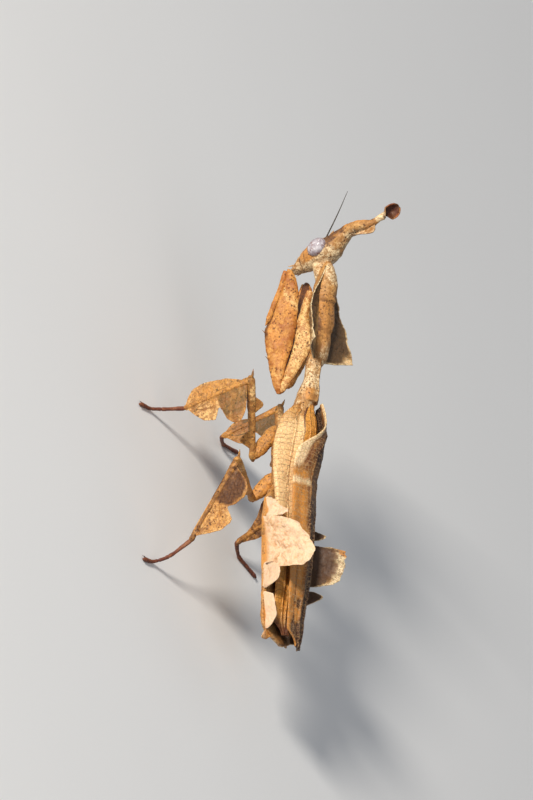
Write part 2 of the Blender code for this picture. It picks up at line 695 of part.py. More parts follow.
def make_walking_leg(name, side, tibia_lobes, femur_lobes, back, sag=0.0):
    root, hip, knee, ankle, tip = (Vector(joint) for joint in LEGS[name])
    up = Vector((0.1, 0, 1))
    coxa = limb(name + "_coxa", (root, hip), Vector((1, 0, 0.3)),
                ((-0.1, 0.6, 0.6, 0.5), (0.2, 0.85, 0.8, 0.7), (0.6, 0.8, 0.75, 0.65), (0.9, 0.5, 0.5, 0.5),
                 (1.0, 0.3, 0.3, 0.3)), steps=6)
    femur = limb(name + "_femur", (hip, knee), up,
                 ((-0.05, 0.25, 0.25, 0.25), (0.02, 0.42, 0.42, 0.4), (0.15, 0.35, 0.35, 0.32),
                  (0.5, 0.42, 0.42, 0.33), (0.9, 0.5, 0.5, 0.4), (1.0, 0.45, 0.45, 0.4),
                  (1.04, 0.25, 0.25, 0.25)), steps=9)
    thigh = knee - hip
    pieces = [flap("thigh_lobe", (hip + thigh * a, hip + thigh * b), out, heights, columns=6, rows=2, **shape)
              for a, b, out, heights, shape in femur_lobes]
    pieces.append(spine("knee_spine", knee, Vector((-0.85, side * 0.25, 0.5)), 1.2, 0.3, 5))
    fuse(femur, pieces)
    shin = ankle - knee
    tibia = limb(name + "_tibia", (knee, ankle), back,
                 ((-0.02, 0.3, 0.3, 0.3), (0.08, 0.42, 0.42, 0.38), (0.3, 0.35, 0.35, 0.33),
                  (0.8, 0.32, 0.32, 0.3), (1.0, 0.3, 0.3, 0.28)), steps=7)
    pieces = [flap("shin_lobe", (knee + shin * a, knee + shin * b), out, heights, columns=9, rows=3, **shape)
              for a, b, out, heights, shape in tibia_lobes]
    fuse(tibia, pieces)
    cut_clear(tibia, [femur])
    cut_clear(coxa, [femur])
    foot = make_foot(name + "_tarsus", ankle, tip, tibia, sag)
    paint(coxa, SPECKLED, 0.6)
    paint(femur, BROWN, 0.6)
    paint(tibia, SPECKLED, 0.6)
    return coxa, femur, tibia, foot


def shin_outline(near, far):
    """Heights of a shin's leaf: one lobe near the knee, a notch, and one lobe near the foot."""
    return ((0.0, 0.3), (0.12, near * 0.75), (0.26, near), (0.42, near * 0.8), (0.5, far * 0.62),
            (0.62, far), (0.78, far * 0.85), (1.0, 0.2))


def make_walking_legs():
    down = Vector((0.1, -0.45, -0.88))
    bump = ((0.0, 0.2), (0.5, 1.3), (1.0, 0.2))
    arch = ((0.0, 0.3), (0.2, 1.1), (0.46, 1.65), (0.65, 1.85), (0.79, 1.7), (0.91, 1.1), (1.0, 0.2))
    little = ((0.0, 0.2), (0.3, 0.5), (0.6, 0.9), (1.0, 0.2))
    wedge = ((0.0, 0.4), (0.15, 1.8), (0.35, 2.2), (0.6, 1.1), (0.85, 0.4), (1.0, 0.2))
    rear, fore = Vector((1, 0, 0)), Vector((-1, 0, 0))
    slope = Vector((0.652, 0, 0.758))
    legs = {}
    legs["midleg_L"] = make_walking_leg(
        "midleg_L", LEFT,
        [(0.06, 0.97, rear, shin_outline(4.2, 2.6), {"ripple": 0.25}), (0.1, 0.98, fore, arch, {})],
        [(0.1, 0.36, down, bump, {}), (0.55, 0.8, -down, bump, {})], rear)
    legs["midleg_R"] = make_walking_leg(
        "midleg_R", RIGHT,
        [(0.06, 0.97, rear, shin_outline(2.6, 2.0), {"ripple": 0.2}), (0.3, 0.97, fore, little, {})],
        [(0.1, 0.36, Vector((0.1, 0.45, -0.88)), bump, {}), (0.55, 0.8, Vector((0.2, 0.1, 1)), bump, {})],
        rear)
    legs["hindleg_L"] = make_walking_leg(
        "hindleg_L", LEFT,
        [(0.06, 0.93, slope, shin_outline(3.3, 3.0), {"ripple": 0.25})],
        [(0.1, 0.36, Vector((0, -0.3, -0.9)), bump, {})], slope, sag=0.9)
    legs["hindleg_R"] = make_walking_leg(
        "hindleg_R", RIGHT,
        [(0.06, 0.93, fore, wedge, {"ripple": 0.2}), (0.3, 0.97, rear, little, {})],
        [(0.1, 0.36, Vector((0, 0.3, -0.9)), little, {})], rear)
    return legs


def main():
    make_wings()
    pronotum = make_pronotum()
    thorax = make_thorax()
    abdomen = make_abdomen()
    eyes = [make_eye("eye_L", LEFT), make_eye("eye_R", RIGHT)]
    head = make_head(eyes)
    make_antenna("antenna_L", LEFT, (-23.4, -2.0, 22.0), head)
    make_antenna("antenna_R", RIGHT, (-21.8, 4.2, 20.6), head)
    make_neck(head, pronotum)
    for name, side in (("foreleg_L", LEFT), ("foreleg_R", RIGHT)):
        coxa = make_foreleg(name, side)[0]
        cut_clear(coxa, [pronotum])
    for coxa, femur, tibia, foot in make_walking_legs().values():
        cut_clear(coxa, [thorax])
        cut_clear(coxa, [abdomen])


def place_all():
    """Hangs every part on one empty, which sets the origin on the floor under the middle."""
    stand = bpy.data.objects.new("ghost_mantis", None)
    work.objects.link(stand)
    stand.location = (-CENTRE_X * MM, -CENTRE_Y * MM, 0.0)
    for obj in list(work.objects):
        if obj.type != "MESH":
            continue
        middle = sum((Vector(corner) for corner in obj.bound_box), Vector()) / 8
        obj.data.transform(Matrix.Scale(MM, 4) @ Matrix.Translation(-middle))
        obj.location = middle * MM
        obj.parent = stand
        obj.data.shade_smooth()
        obj.data.set_sharp_from_angle(angle=math.radians(40))


for old in list(bpy.data.objects):
    bpy.data.objects.remove(old)
work = bpy.data.collections.new("ghost mantis")
bpy.context.scene.collection.children.link(work)
main()
place_all()
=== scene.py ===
"""The looks of a female ghost mantis at life size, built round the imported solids.

Shapes are worked out in millimetres in the animal's own frame: +X runs to the tail, her left side is
at -Y, and the floor is z = 0. finished() turns them into metres about the origin on the floor.
"""

import json
import math

import bmesh
import bpy
import numpy as np
from mathutils import Matrix, Vector, kdtree, noise

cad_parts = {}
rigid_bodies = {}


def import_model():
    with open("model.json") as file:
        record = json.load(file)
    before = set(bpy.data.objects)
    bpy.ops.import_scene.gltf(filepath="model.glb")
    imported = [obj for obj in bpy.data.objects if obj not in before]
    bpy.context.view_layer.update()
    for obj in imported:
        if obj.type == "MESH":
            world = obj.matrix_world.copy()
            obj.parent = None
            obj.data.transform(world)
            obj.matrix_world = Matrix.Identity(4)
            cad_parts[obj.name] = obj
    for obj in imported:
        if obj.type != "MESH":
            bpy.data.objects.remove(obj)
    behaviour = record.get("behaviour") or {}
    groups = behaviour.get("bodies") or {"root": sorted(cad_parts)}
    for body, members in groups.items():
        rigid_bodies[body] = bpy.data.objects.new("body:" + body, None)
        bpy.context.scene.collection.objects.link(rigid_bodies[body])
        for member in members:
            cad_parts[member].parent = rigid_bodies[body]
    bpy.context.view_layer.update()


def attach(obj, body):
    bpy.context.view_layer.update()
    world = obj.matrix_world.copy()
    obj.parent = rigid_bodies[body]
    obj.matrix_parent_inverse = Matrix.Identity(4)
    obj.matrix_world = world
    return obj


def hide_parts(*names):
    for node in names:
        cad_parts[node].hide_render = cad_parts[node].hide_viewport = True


for old in list(bpy.data.objects):
    bpy.data.objects.remove(old)
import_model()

MM = 0.001
LEFT, RIGHT = -1, 1
CENTRE = Vector((0.77, -3.21, 0))
UP = Vector((0, 0, 1))
TAU = 2 * math.pi

# Trunk of the body, as in the solids
NECK_TOP = Vector((-16.6, 0, 17.75))
PRONOTUM_END = Vector((-2.55, 0, 13.8))
THORAX_START = -2.4
THORAX_END = 7.6
ABDOMEN_START = 7.3

# Folded wings: half width, height of the outer margin and of the ridge, along X
WING_ARCH = (
    (-1.9, 1.8, 12.8, 14.7),
    (-0.6, 2.35, 11.95, 14.85),
    (0.4, 2.8, 11.35, 14.9),
    (1.6, 3.05, 10.9, 14.85),
    (2.9, 3.3, 10.5, 14.4),
    (4.5, 3.45, 10.25, 13.8),
    (6.5, 3.5, 10.05, 12.95),
    (8.7, 3.45, 9.9, 12.45),
    (12, 3.3, 9.55, 11.8),
    (15, 3.2, 9.15, 11.15),
    (18, 2.9, 8.6, 10.3),
    (21, 2.65, 7.85, 9.45),
    (23.4, 2.5, 7.25, 8.85),
    (25.2, 1.9, 7.1, 8.4),
)
WING_STEP = 0.95
WING_SHEET = 0.16
WING_COLUMNS, WING_ROWS = 360, 130

# Legs: joints from the body outwards, and for walking legs the tip of the foot
LEGS = {
    "foreleg_L": ((-13.4, -1.3, 15.8), (-3.4, -1.5, 11.2), (-15.9, -2.9, 14.3)),
    "foreleg_R": ((-13.9, 1.3, 15.9), (-5.4, 1.75, 10.8), (-16.8, 2.9, 13.55)),
    "midleg_L": ((1, -1.6, 10), (3.7, -2.6, 7.45), (-2.35, -7.9, 10.75), (-1.4, -8.25, 2.86),
                 (-0.9, -13.3, 0)),
    "midleg_R": ((1, 1.6, 10), (3.7, 2.7, 7.45), (-5.1, 5.65, 7.5), (-3.04, 3.84, 1.19),
                 (-3.5, 9.5, 0)),
    "hindleg_L": ((6.2, -1.6, 9.2), (8.5, -2.8, 6.9), (8.2, -11.8, 9.9), (15.6, -11.95, 3.54),
                  (18.3, -16.7, 0)),
    "hindleg_R": ((6.2, 1.6, 9.2), (8.5, 2.8, 6.9), (3.9, 9.9, 6.6), (9.3, 4.4, 1.2),
                  (11, 10.2, 0)),
}

LEAF_ROOT = 0.35  # how deep a lobe is sunk in what carries it
SKIN_VOXEL = 0.085
FEELER_JOINTS = 46
TOE_JOINTS = 5
THIGH_SPINES, SHIN_SPINES = 13, 9
SHIELD_RIBS = 5
SPOON_TWIST = 150
EYE_SIZE, EYE_CENTRE, EYE_TILT = (0.86, 0.8, 1.13), (-18.4, 1.55, 17.35), -0.5
WING_TIP_ANGLES, WING_BASE_ANGLE = (42, 88), 26

# Numbers painted on every point of a piece, which its finish reads
MASKS = ("pale", "dark", "warm", "vein")


# Small tools

def blend(rows, t):
    """Smooth values at t through rows of (t, value, ...), without overshoot."""
    table = np.asarray(rows, float)
    ts, values = table[:, 0], table[:, 1:]
    t = min(max(t, ts[0]), ts[-1])
    i = min(int(np.searchsorted(ts, t, side="right")) - 1, len(ts) - 2)
    slopes = np.diff(values, axis=0) / np.diff(ts)[:, None]

    def tangent(k):
        if k in (0, len(ts) - 1):
            return slopes[min(k, len(slopes) - 1)]
        a, b = slopes[k - 1], slopes[k]
        mean = 2 * a * b / np.where(a + b == 0, 1, a + b)
        return np.where(a * b > 0, mean, 0)

    h = ts[i + 1] - ts[i]
    s = (t - ts[i]) / h
    start = (1 + 2 * s) * (1 - s) ** 2 * values[i] + s * (1 - s) ** 2 * h * tangent(i)
    end = s * s * (3 - 2 * s) * values[i + 1] + s * s * (s - 1) * h * tangent(i + 1)
    return start + end


def curve(rows, ts):
    """blend at each of the ts, as one array."""
    return np.array([blend(rows, t) for t in ts])


def step_up(t):
    """0 below 0, 1 above 1, smooth between; works on arrays."""
    t = np.clip(t, 0, 1)
    return t * t * (3 - 2 * t)


def ramp(t, start, width):
    """0 up to the start, 1 from a width beyond it, smooth between."""
    return step_up((t - start) / width)


def fade(t, start, width):
    """1 up to the start, 0 from a width beyond it."""
    return 1 - ramp(t, start, width)


def hump(t, centre, width):
    """1 at the centre, falling off over the width."""
    return np.exp(-(((t - centre) / width) ** 2))


def fractal(points, scale, seed):
    """Smooth noise, about -1 to 1, at each point."""
    shift = Vector((seed * 17.3, seed * 5.1, seed * 9.7))
    flat = np.asarray(points, float).reshape(-1, 3)
    values = [noise.fractal(Vector(p) * scale + shift, 1, 2, 3) for p in flat]
    return np.array(values).reshape(np.shape(points)[:-1])


def grid_normals(points, wrap):
    """Normals of a grid of points, whose rows may close on themselves."""
    along = np.gradient(points, axis=0)
    if wrap:
        around = (np.roll(points, -1, axis=1) - np.roll(points, 1, axis=1)) / 2
    else:
        around = np.gradient(points, axis=1)
    normals = np.cross(along, around)
    length = np.linalg.norm(normals, axis=2, keepdims=True)
    return normals / np.maximum(length, 1e-9)


def raised(points, wrap, height):
    """The grid moved along its normals by the height at each point."""
    return points + grid_normals(points, wrap) * height[..., None]


def rumpled(points, wrap, amount, scale, seed):
    """The grid moved along its normals by noise."""
    return raised(points, wrap, amount * fractal(points, scale, seed))


# Shells: loose surfaces with their masks, joined into pieces later

class Shell:
    """Points, faces and, for each mask, one number at every point."""

    def __init__(self, points, faces, masks):
        self.points = np.asarray(points, float).reshape(-1, 3)
        self.faces = faces
        self.masks = {name: np.zeros(len(self.points)) for name in MASKS}
        for name, values in masks.items():
            self.masks[name][:] = np.broadcast_to(np.asarray(values, float).ravel(), len(self.points))


def grid_faces(rows, columns, wrap, first=0, flip=False):
    i, j = np.meshgrid(np.arange(rows - 1), np.arange(columns if wrap else columns - 1), indexing="ij")
    k = (j + 1) % columns
    faces = np.stack([i * columns + j, i * columns + k, (i + 1) * columns + k, (i + 1) * columns + j],
        axis=-1)
    faces = faces.reshape(-1, 4) + first
    return (faces[:, ::-1] if flip else faces).tolist()


def tube(points, **masks):
    """A closed shell through rings of points."""
    rows, columns = points.shape[:2]
    faces = grid_faces(rows, columns, True)
    faces.append(list(range(columns))[::-1])
    faces.append([(rows - 1) * columns + j for j in range(columns)])
    return Shell(points, faces, masks)


def sheet(points, thick, **masks):
    """A thin closed shell round a grid of points. A mask has one grid, or one for each face."""
    rows, columns = points.shape[:2]
    half = grid_normals(points, False) * (np.broadcast_to(thick, (rows, columns)) / 2)[..., None]
    upper, under = points + half, points - half
    count = rows * columns
    faces = grid_faces(rows, columns, False) + grid_faces(rows, columns, False, count, flip=True)
    rim = [(0, j) for j in range(columns)]
    rim += [(i, columns - 1) for i in range(1, rows)]
    rim += [(rows - 1, j) for j in range(columns - 2, -1, -1)]
    rim += [(i, 0) for i in range(rows - 2, 0, -1)]
    loop = [i * columns + j for i, j in rim]
    for a, b in zip(loop, loop[1:] + loop[:1]):
        faces.append([b, a, a + count, b + count])
    masks = {name: np.broadcast_to(value, (2, rows, columns)) for name, value in masks.items()}
    return Shell(np.stack([upper, under]), faces, masks)


def placed(name, data):
    """A new object in the scene."""
    made = bpy.data.objects.new(name, data)
    bpy.context.scene.collection.objects.link(made)
    return made


def mesh_of(name, shells):
    points, faces, start = [], [], 0
    for shell in shells:
        points.append(shell.points)
        faces += [[k + start for k in face] for face in shell.faces]
        start += len(shell.points)
    mesh = bpy.data.meshes.new(name)
    mesh.from_pydata(np.concatenate(points).tolist(), [], faces)
    for mask in MASKS:
        layer = mesh.attributes.new(mask, "FLOAT", "POINT")
        layer.data.foreach_set("value", np.concatenate([shell.masks[mask] for shell in shells]))
    bm = bmesh.new()
    bm.from_mesh(mesh)
    bmesh.ops.recalc_face_normals(bm, faces=bm.faces)
    bm.to_mesh(mesh)
    bm.free()
    return mesh


def fused(shells):
    """One skin over the shells, which carries the masks of the nearest point below it."""
    core = placed("core", mesh_of("core", shells))
    remesh = core.modifiers.new("skin", "REMESH")
    remesh.mode = "VOXEL"
    remesh.voxel_size = SKIN_VOXEL
    graph = bpy.context.evaluated_depsgraph_get()
    skin = bpy.data.meshes.new_from_object(core.evaluated_get(graph))
    bpy.data.objects.remove(core)
    source = np.concatenate([shell.points for shell in shells])
    tree = kdtree.KDTree(len(source))
    for i, point in enumerate(source):
        tree.insert(point, i)
    tree.balance()
    points = np.zeros(len(skin.vertices) * 3)
    skin.vertices.foreach_get("co", points)
    points = points.reshape(-1, 3)
    nearest = np.array([tree.find(point)[1] for point in points])
    faces = [list(face.vertices) for face in skin.polygons]
    masks = {mask: np.concatenate([shell.masks[mask] for shell in shells])[nearest] for mask in MASKS}
    return Shell(points, faces, masks)


def finished(name, shells, finish, slot, *nodes):
    """The shells as one piece at its place in metres, which stands for the nodes."""
    mesh = mesh_of(name, shells)
    mesh.transform(Matrix.Scale(MM, 4) @ Matrix.Translation(-CENTRE))
    mesh.shade_smooth()
    mesh.materials.append(finish)
    piece = placed(name, mesh)
    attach(piece, "root")
    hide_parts(*nodes)


# Shapes that many parts share

def frame_of(direction, up):
    """The side and up directions square to the given direction."""
    forward = direction.normalized()
    side = forward.cross(up).normalized()
    return side, side.cross(forward).normalized()


def ring(centre, side, up, width, rise, drop, sides):
    """Points round the centre: half width each way, rise above it and drop below it."""
    turn = TAU * (np.arange(sides) + 0.5) / sides
    across, along = np.cos(turn), np.sin(turn)
    height = np.where(along > 0, rise, drop) * along
    return np.array(centre) + np.outer(width * across, side) + np.outer(height, up)


def heading(route, t):
    """The way the route runs at t."""
    return Vector(blend(route, min(t + 0.02, 1))) - Vector(blend(route, max(t - 0.02, 0)))


def limb(joints, up, profile, sides, steps, bow=None, bumps=None, rumple=None):
    """Rings along a route: profile rows give (t, rise, drop, half width).

    Bow bends the route, bumps swells the rings, and rumple is the amount, scale and seed of noise.
    """
    lengths = [0]
    for a, b in zip(joints, joints[1:]):
        lengths.append(lengths[-1] + (Vector(b) - Vector(a)).length)
    route = [(length / lengths[-1], *joint) for length, joint in zip(lengths, joints)]
    start, end = profile[0][0], profile[-1][0]
    rings = []
    for k in range(steps + 1):
        t = start + (end - start) * (0.5 - 0.5 * math.cos(math.pi * k / steps))
        inside = min(max(t, 0), 1)
        centre = Vector(blend(route, inside))
        ahead = heading(route, inside)
        centre += ahead.normalized() * (t - inside) * lengths[-1]
        side, above = frame_of(ahead, up)
        if bow is not None:
            centre += bow * math.sin(math.pi * inside)
        rise, drop, width = blend(profile, t)
        swell = 1 if bumps is None else bumps(t)
        rings.append(ring(centre, side, above, width * swell, rise * swell, drop * swell, sides))
    rings = np.array(rings)
    return rings if rumple is None else rumpled(rings, True, *rumple)


def around(points):
    """How far along the tube and round it each point lies, 0 to 1."""
    rows, columns = points.shape[:2]
    return np.meshgrid(np.linspace(0, 1, rows), (np.arange(columns) + 0.5) / columns, indexing="ij")


def even(*rows):
    """Profile rows of a round limb, from (t, radius) rows."""
    return [(t, radius, radius, radius) for t, radius in rows]


def spike(base, direction, length, radius, sides, bend=None, **masks):
    """A tapered spine, hook or bristle, whose root is sunk by its radius."""
    direction = Vector(direction).normalized()
    tip = Vector(base) + direction * length
    middle = Vector(base) + direction * length * 0.5 + (bend or Vector())
    profile = even((0, radius), (0.6, radius * 0.6), (1, 0.012))
    up = UP if abs(direction.z) < 0.9 else Vector((1, 0, 0))
    points = limb((Vector(base) - direction * radius, middle, tip), up, profile, sides, 9)
    return tube(points, **masks)


def segment_distance(u, v, a, b):
    """Distance in the (u, v) plane from the stretch between a and b."""
    along = np.array(b, float) - np.array(a, float)
    share = ((u - a[0]) * along[0] + (v - a[1]) * along[1]) / (along @ along)
    share = np.clip(share, 0, 1)
    return np.hypot(u - a[0] - share * along[0], v - a[1] - share * along[1])


def leaf(root, out, heights, tint, crease, seed, cup=0, skew=0, fan=0, ripple=0, phase=0, thick=0.15,
        ragged=0.02, curl=0, ribs=(), columns=100, rows=60):
    """A leafy lobe that stands on the root line, reaches out by the heights and crumples like a dry leaf.

    Ribs are veins, as ((u, v), (u, v), rise). Curl rolls the free rim over.
    """
    first, last = Vector(root[0]), Vector(root[1])
    length = (last - first).length
    along = (last - first).normalized()
    out = (Vector(out) - along * Vector(out).dot(along)).normalized()
    normal = along.cross(out)
    us, vs = np.linspace(0, 1, columns), np.linspace(0, 1, rows)
    height = curve(heights, us)[:, 0]
    teeth = fractal(np.stack([us * length, us * 0, us * 0 + seed * 3.7], axis=1), 1.7, seed)
    height = height * (1 + ragged * teeth * 2)
    u, v = np.meshgrid(us, vs, indexing="ij")
    reach = -LEAF_ROOT + v * (height[:, None] + LEAF_ROOT)
    lift = np.maximum(reach, 0)
    wave = ripple * np.sin(7 * u + phase) * lift / (1 + lift)
    roll = ramp(v, 0.72, 0.28)
    bulge = cup * lift * lift + wave + curl * roll
    reach = reach - abs(curl) * 0.35 * roll ** 2
    slide = (skew + fan * (u - 0.5)) * lift
    place = np.array(first) + u[..., None] * np.array(last - first)
    place = place + reach[..., None] * np.array(out) + slide[..., None] * np.array(along)
    place = place + bulge[..., None] * np.array(normal)
    free = step_up(lift / 0.8)
    place = rumpled(place, False, crease * free, 0.75, seed + 3)
    place = rumpled(place, False, crease * 0.35 * free, 2.6, seed + 11)
    vein = np.zeros_like(u)
    for a, b, rise in ribs:
        span = np.array([length, float(height.max())])
        near = segment_distance(u * span[0], v * span[1], np.array(a) * span, np.array(b) * span)
        line = hump(near, 0, 0.09)
        vein = np.maximum(vein, line * min(rise * 12, 1))
        place = raised(place, False, line * rise)
    edge = np.maximum(ramp(v, 0.8, 0.2), ramp(abs(2 * u - 1), 0.86, 0.14))
    return sheet(place, thick * (1 - 0.55 * edge), vein=vein, **tint(u, v, edge))


# Finishes

class Finish:
    """Builds one procedural material. Its textures work on millimetres of the object."""

    def __init__(self, name):
        self.material = bpy.data.materials.new(name)
        self.material.use_nodes = True
        self.tree = self.material.node_tree
        self.shader = self.tree.nodes["Principled BSDF"]
        place = self.node("ShaderNodeTexCoord").outputs["Object"]
        self.place = self.node("ShaderNodeVectorMath", operation="SCALE", Vector=place,
            Scale=1 / MM).outputs[0]

    def node(self, kind, operation=None, **inputs):
        node = self.tree.nodes.new(kind)
        if operation:
            node.operation = operation
        for name, value in inputs.items():
            self.feed(node.inputs[name], value)
        return node

    def feed(self, socket, value):
        if isinstance(value, bpy.types.NodeSocket):
            self.tree.links.new(value, socket)
        elif isinstance(value, (tuple, list)) and socket.type == "RGBA":
            socket.default_value = (*value[:3], 1)
        else:
            socket.default_value = value

    def mask(self, name):
        node = self.node("ShaderNodeAttribute")
        node.attribute_name = name
        return node.outputs["Fac"]

    def noise(self, scale, detail=3, rough=0.55, twist=0, place=None):
        return self.node("ShaderNodeTexNoise", Vector=place or self.place, Scale=scale, Detail=detail,
            Roughness=rough, Distortion=twist).outputs["Fac"]

    def stretched(self, x, y, z):
        scaled = self.node("ShaderNodeMapping", Vector=self.place)
        scaled.inputs["Scale"].default_value = (x, y, z)
        return scaled.outputs[0]

    def cells(self, scale, feature="F1", random=1):
        node = self.node("ShaderNodeTexVoronoi", Vector=self.place, Scale=scale, Randomness=random)
        node.feature = feature
        return node.outputs["Distance"]

    def fit(self, value, low, high, start=0, end=1):
        """The value's stretch from low to high, made start to end with soft ends."""
        node = self.node("ShaderNodeMapRange", Value=value)
        node.interpolation_type = "SMOOTHSTEP"
        for name, number in zip(("From Min", "From Max", "To Min", "To Max"), (low, high, start, end)):
            node.inputs[name].default_value = number
        return node.outputs["Result"]

    def math(self, operation, a, b):
        node = self.node("ShaderNodeMath", operation)
        self.feed(node.inputs[0], a)
        self.feed(node.inputs[1], b)
        return node.outputs[0]

    def add(self, a, b):
        return self.math("ADD", a, b)

    def times(self, a, b):
        return self.math("MULTIPLY", a, b)

    def mix(self, share, a, b):
        node = self.tree.nodes.new("ShaderNodeMix")
        node.data_type = "RGBA"
        self.feed(node.inputs[0], share)
        self.feed(node.inputs[6], a)
        self.feed(node.inputs[7], b)
        return node.outputs[2]

    def painted(self, tone, mask, texture, spread, limits, colour):
        """The tone with a colour where the mask is painted, its edge broken up by the texture."""
        share = self.add(self.mask(mask), self.fit(texture, *spread))
        return self.mix(self.fit(share, *limits), tone, colour)

    def bump(self, height, deep):
        node = self.node("ShaderNodeBump", Height=height)
        node.inputs["Strength"].default_value = 1
        node.inputs["Distance"].default_value = deep * MM
        self.feed(self.shader.inputs["Normal"], node.outputs[0])

    def close(self, colour, roughness, specular=0.35, soft=0):
        self.feed(self.shader.inputs["Base Color"], colour)
        self.feed(self.shader.inputs["Roughness"], roughness)
        self.shader.inputs["Specular IOR Level"].default_value = specular
        if soft:
            self.shader.inputs["Subsurface Weight"].default_value = soft
            self.shader.inputs["Subsurface Radius"].default_value = (1, 0.45, 0.2)
            self.shader.inputs["Subsurface Scale"].default_value = 0.35 * MM
        return self.material


def chitin(name, base, deep, pale, dark, warm, speck=0.6, speck_size=3.1, grain=0.045, roughness=0.55,
        soft=0, crinkle=0, mottle=0.55, grit=0.32):
    """Dry, leaf-like cuticle: mottled tan, lit by pale patches and dotted with dark specks."""
    f = Finish(name)
    broad = f.noise(0.42, 3, 0.6, 0.4)
    patches = f.noise(1.25, 5, 0.65, 0.8)
    fine = f.noise(4.2, 4, 0.65)
    tone = f.mix(f.fit(f.add(f.times(broad, 0.6), f.times(patches, 0.5)), 0.44, 0.64), deep, base)
    tone = f.mix(f.times(f.fit(patches, 0.5, 0.64), 0.35), tone, warm)
    tone = f.painted(tone, "pale", patches, (0.35, 0.65, -0.28, 0.22), (0.18, 0.82), pale)
    tone = f.painted(tone, "warm", broad, (0.35, 0.65, -0.2, 0.2), (0.2, 0.85), warm)
    blots = f.fit(f.noise(2.5, 4, 0.7, 1.2), 0.47, 0.57)
    tone = f.mix(f.times(blots, mottle), tone, deep)
    tone = f.painted(tone, "dark", patches, (0.3, 0.7, -0.22, 0.22), (0.2, 0.85, 0, 0.94), dark)
    tone = f.mix(f.fit(f.mask("vein"), 0.25, 0.9, 0, 0.8), tone, dark)
    dots = f.cells(speck_size)
    sparse = f.fit(f.noise(0.9, 2), 0.36, 0.62, 0.14, 0.38)
    spot = f.fit(f.math("SUBTRACT", sparse, dots), -0.03, 0.13)
    spot = f.times(spot, f.fit(f.noise(2.1, 2), 0.37, 0.46))
    tone = f.mix(f.times(spot, speck), tone, dark)
    tone = f.mix(f.times(f.fit(fine, 0.38, 0.66), grit), tone, deep)
    height = f.add(f.times(fine, 0.5), f.times(patches, 0.6))
    height = f.math("SUBTRACT", height, f.times(spot, 0.25))
    if crinkle:
        folds = f.cells(1.5, "DISTANCE_TO_EDGE")
        height = f.add(height, f.times(f.fit(folds, 0, 0.25), crinkle))
    f.bump(height, grain * 2.2)
    rough = f.fit(patches, 0.3, 0.7, roughness - 0.1, roughness + 0.12)
    return f.close(tone, rough, soft=soft)


def wing_finish(name, base, deep, pale, dark, warm, vein_tone, net=0.5):
    """A dead-leaf wing: toned along its length, with dark cross veins and a fine net between them."""
    f = Finish(name)
    broad = f.noise(0.35, 3, 0.55, 0.5)
    streaks = f.noise(1.3, 4, 0.6, 0.3, f.stretched(0.35, 1, 1))
    fine = f.noise(6, 3, 0.6)
    tone = f.mix(f.fit(streaks, 0.36, 0.66), deep, base)
    tone = f.painted(tone, "warm", broad, (0.35, 0.65, -0.25, 0.25), (0.2, 0.85), warm)
    tone = f.painted(tone, "pale", streaks, (0.35, 0.65, -0.18, 0.15), (0.15, 0.85), pale)
    tone = f.painted(tone, "dark", broad, (0.3, 0.7, -0.2, 0.2), (0.2, 0.9, 0, 0.95), dark)
    mesh = f.cells(2.3, "DISTANCE_TO_EDGE", 0.9)
    threads = f.fit(mesh, 0.02, 0.09, 1, 0)
    tone = f.mix(f.times(threads, net * 0.55), tone, vein_tone)
    tone = f.mix(f.fit(f.mask("vein"), 0.3, 0.85, 0, 0.8), tone, vein_tone)
    tone = f.mix(f.times(f.fit(fine, 0.35, 0.7), 0.18), tone, deep)
    dots = f.math("LESS_THAN", f.cells(2.4), f.fit(f.noise(0.8, 2), 0.45, 0.68, 0.02, 0.22))
    tone = f.mix(f.times(dots, 0.4), tone, dark)
    height = f.add(f.times(threads, 0.5), f.times(fine, 0.35))
    height = f.add(height, f.times(streaks, 0.6))
    f.bump(height, 0.06)
    return f.close(tone, f.fit(streaks, 0.3, 0.7, 0.38, 0.58), 0.4, 0.12)


def eye_finish():
    """Grey-lavender compound eye with fine facets and a dark false pupil."""
    f = Finish("compound_eye")
    bands = f.noise(1.1, 3, 0.5, 1.2, f.stretched(1, 1, 0.5))
    tone = f.mix(f.fit(bands, 0.4, 0.62), (0.33, 0.28, 0.31), (0.62, 0.58, 0.6))
    tone = f.mix(f.fit(f.noise(2.2, 3, 0.6, 1), 0.54, 0.64, 0, 0.8), tone, (0.22, 0.1, 0.08))
    tone = f.mix(f.fit(f.mask("dark"), 0.2, 0.9, 0, 0.9), tone, (0.05, 0.025, 0.03))
    facets = f.cells(11, "F1", 0.25)
    f.bump(f.fit(facets, 0, 0.6, 1, 0), 0.02)
    return f.close(tone, f.fit(bands, 0.3, 0.7, 0.16, 0.3), 0.5)


def palette(*tones):
    """The five tones that a finish is mixed from."""
    return dict(zip(("base", "deep", "pale", "dark", "warm"), tones))


ORANGE = palette((0.7, 0.36, 0.09), (0.36, 0.115, 0.02), (0.82, 0.55, 0.22), (0.05, 0.013, 0.006),
    (0.64, 0.25, 0.045))
TAN = palette((0.62, 0.37, 0.14), (0.33, 0.145, 0.04), (0.82, 0.64, 0.38), (0.05, 0.017, 0.01),
    (0.58, 0.25, 0.055))
BEIGE = palette((0.72, 0.45, 0.25), (0.52, 0.27, 0.12), (0.81, 0.57, 0.37), (0.06, 0.02, 0.012),
    (0.6, 0.26, 0.055))
LEAF = palette((0.6, 0.3, 0.075), (0.28, 0.115, 0.03), (0.78, 0.49, 0.2), (0.05, 0.016, 0.008),
    (0.62, 0.28, 0.06))
FOOT = palette((0.26, 0.09, 0.038), (0.12, 0.03, 0.016), (0.42, 0.2, 0.1), (0.03, 0.009, 0.006),
    (0.3, 0.1, 0.035))


# Wings

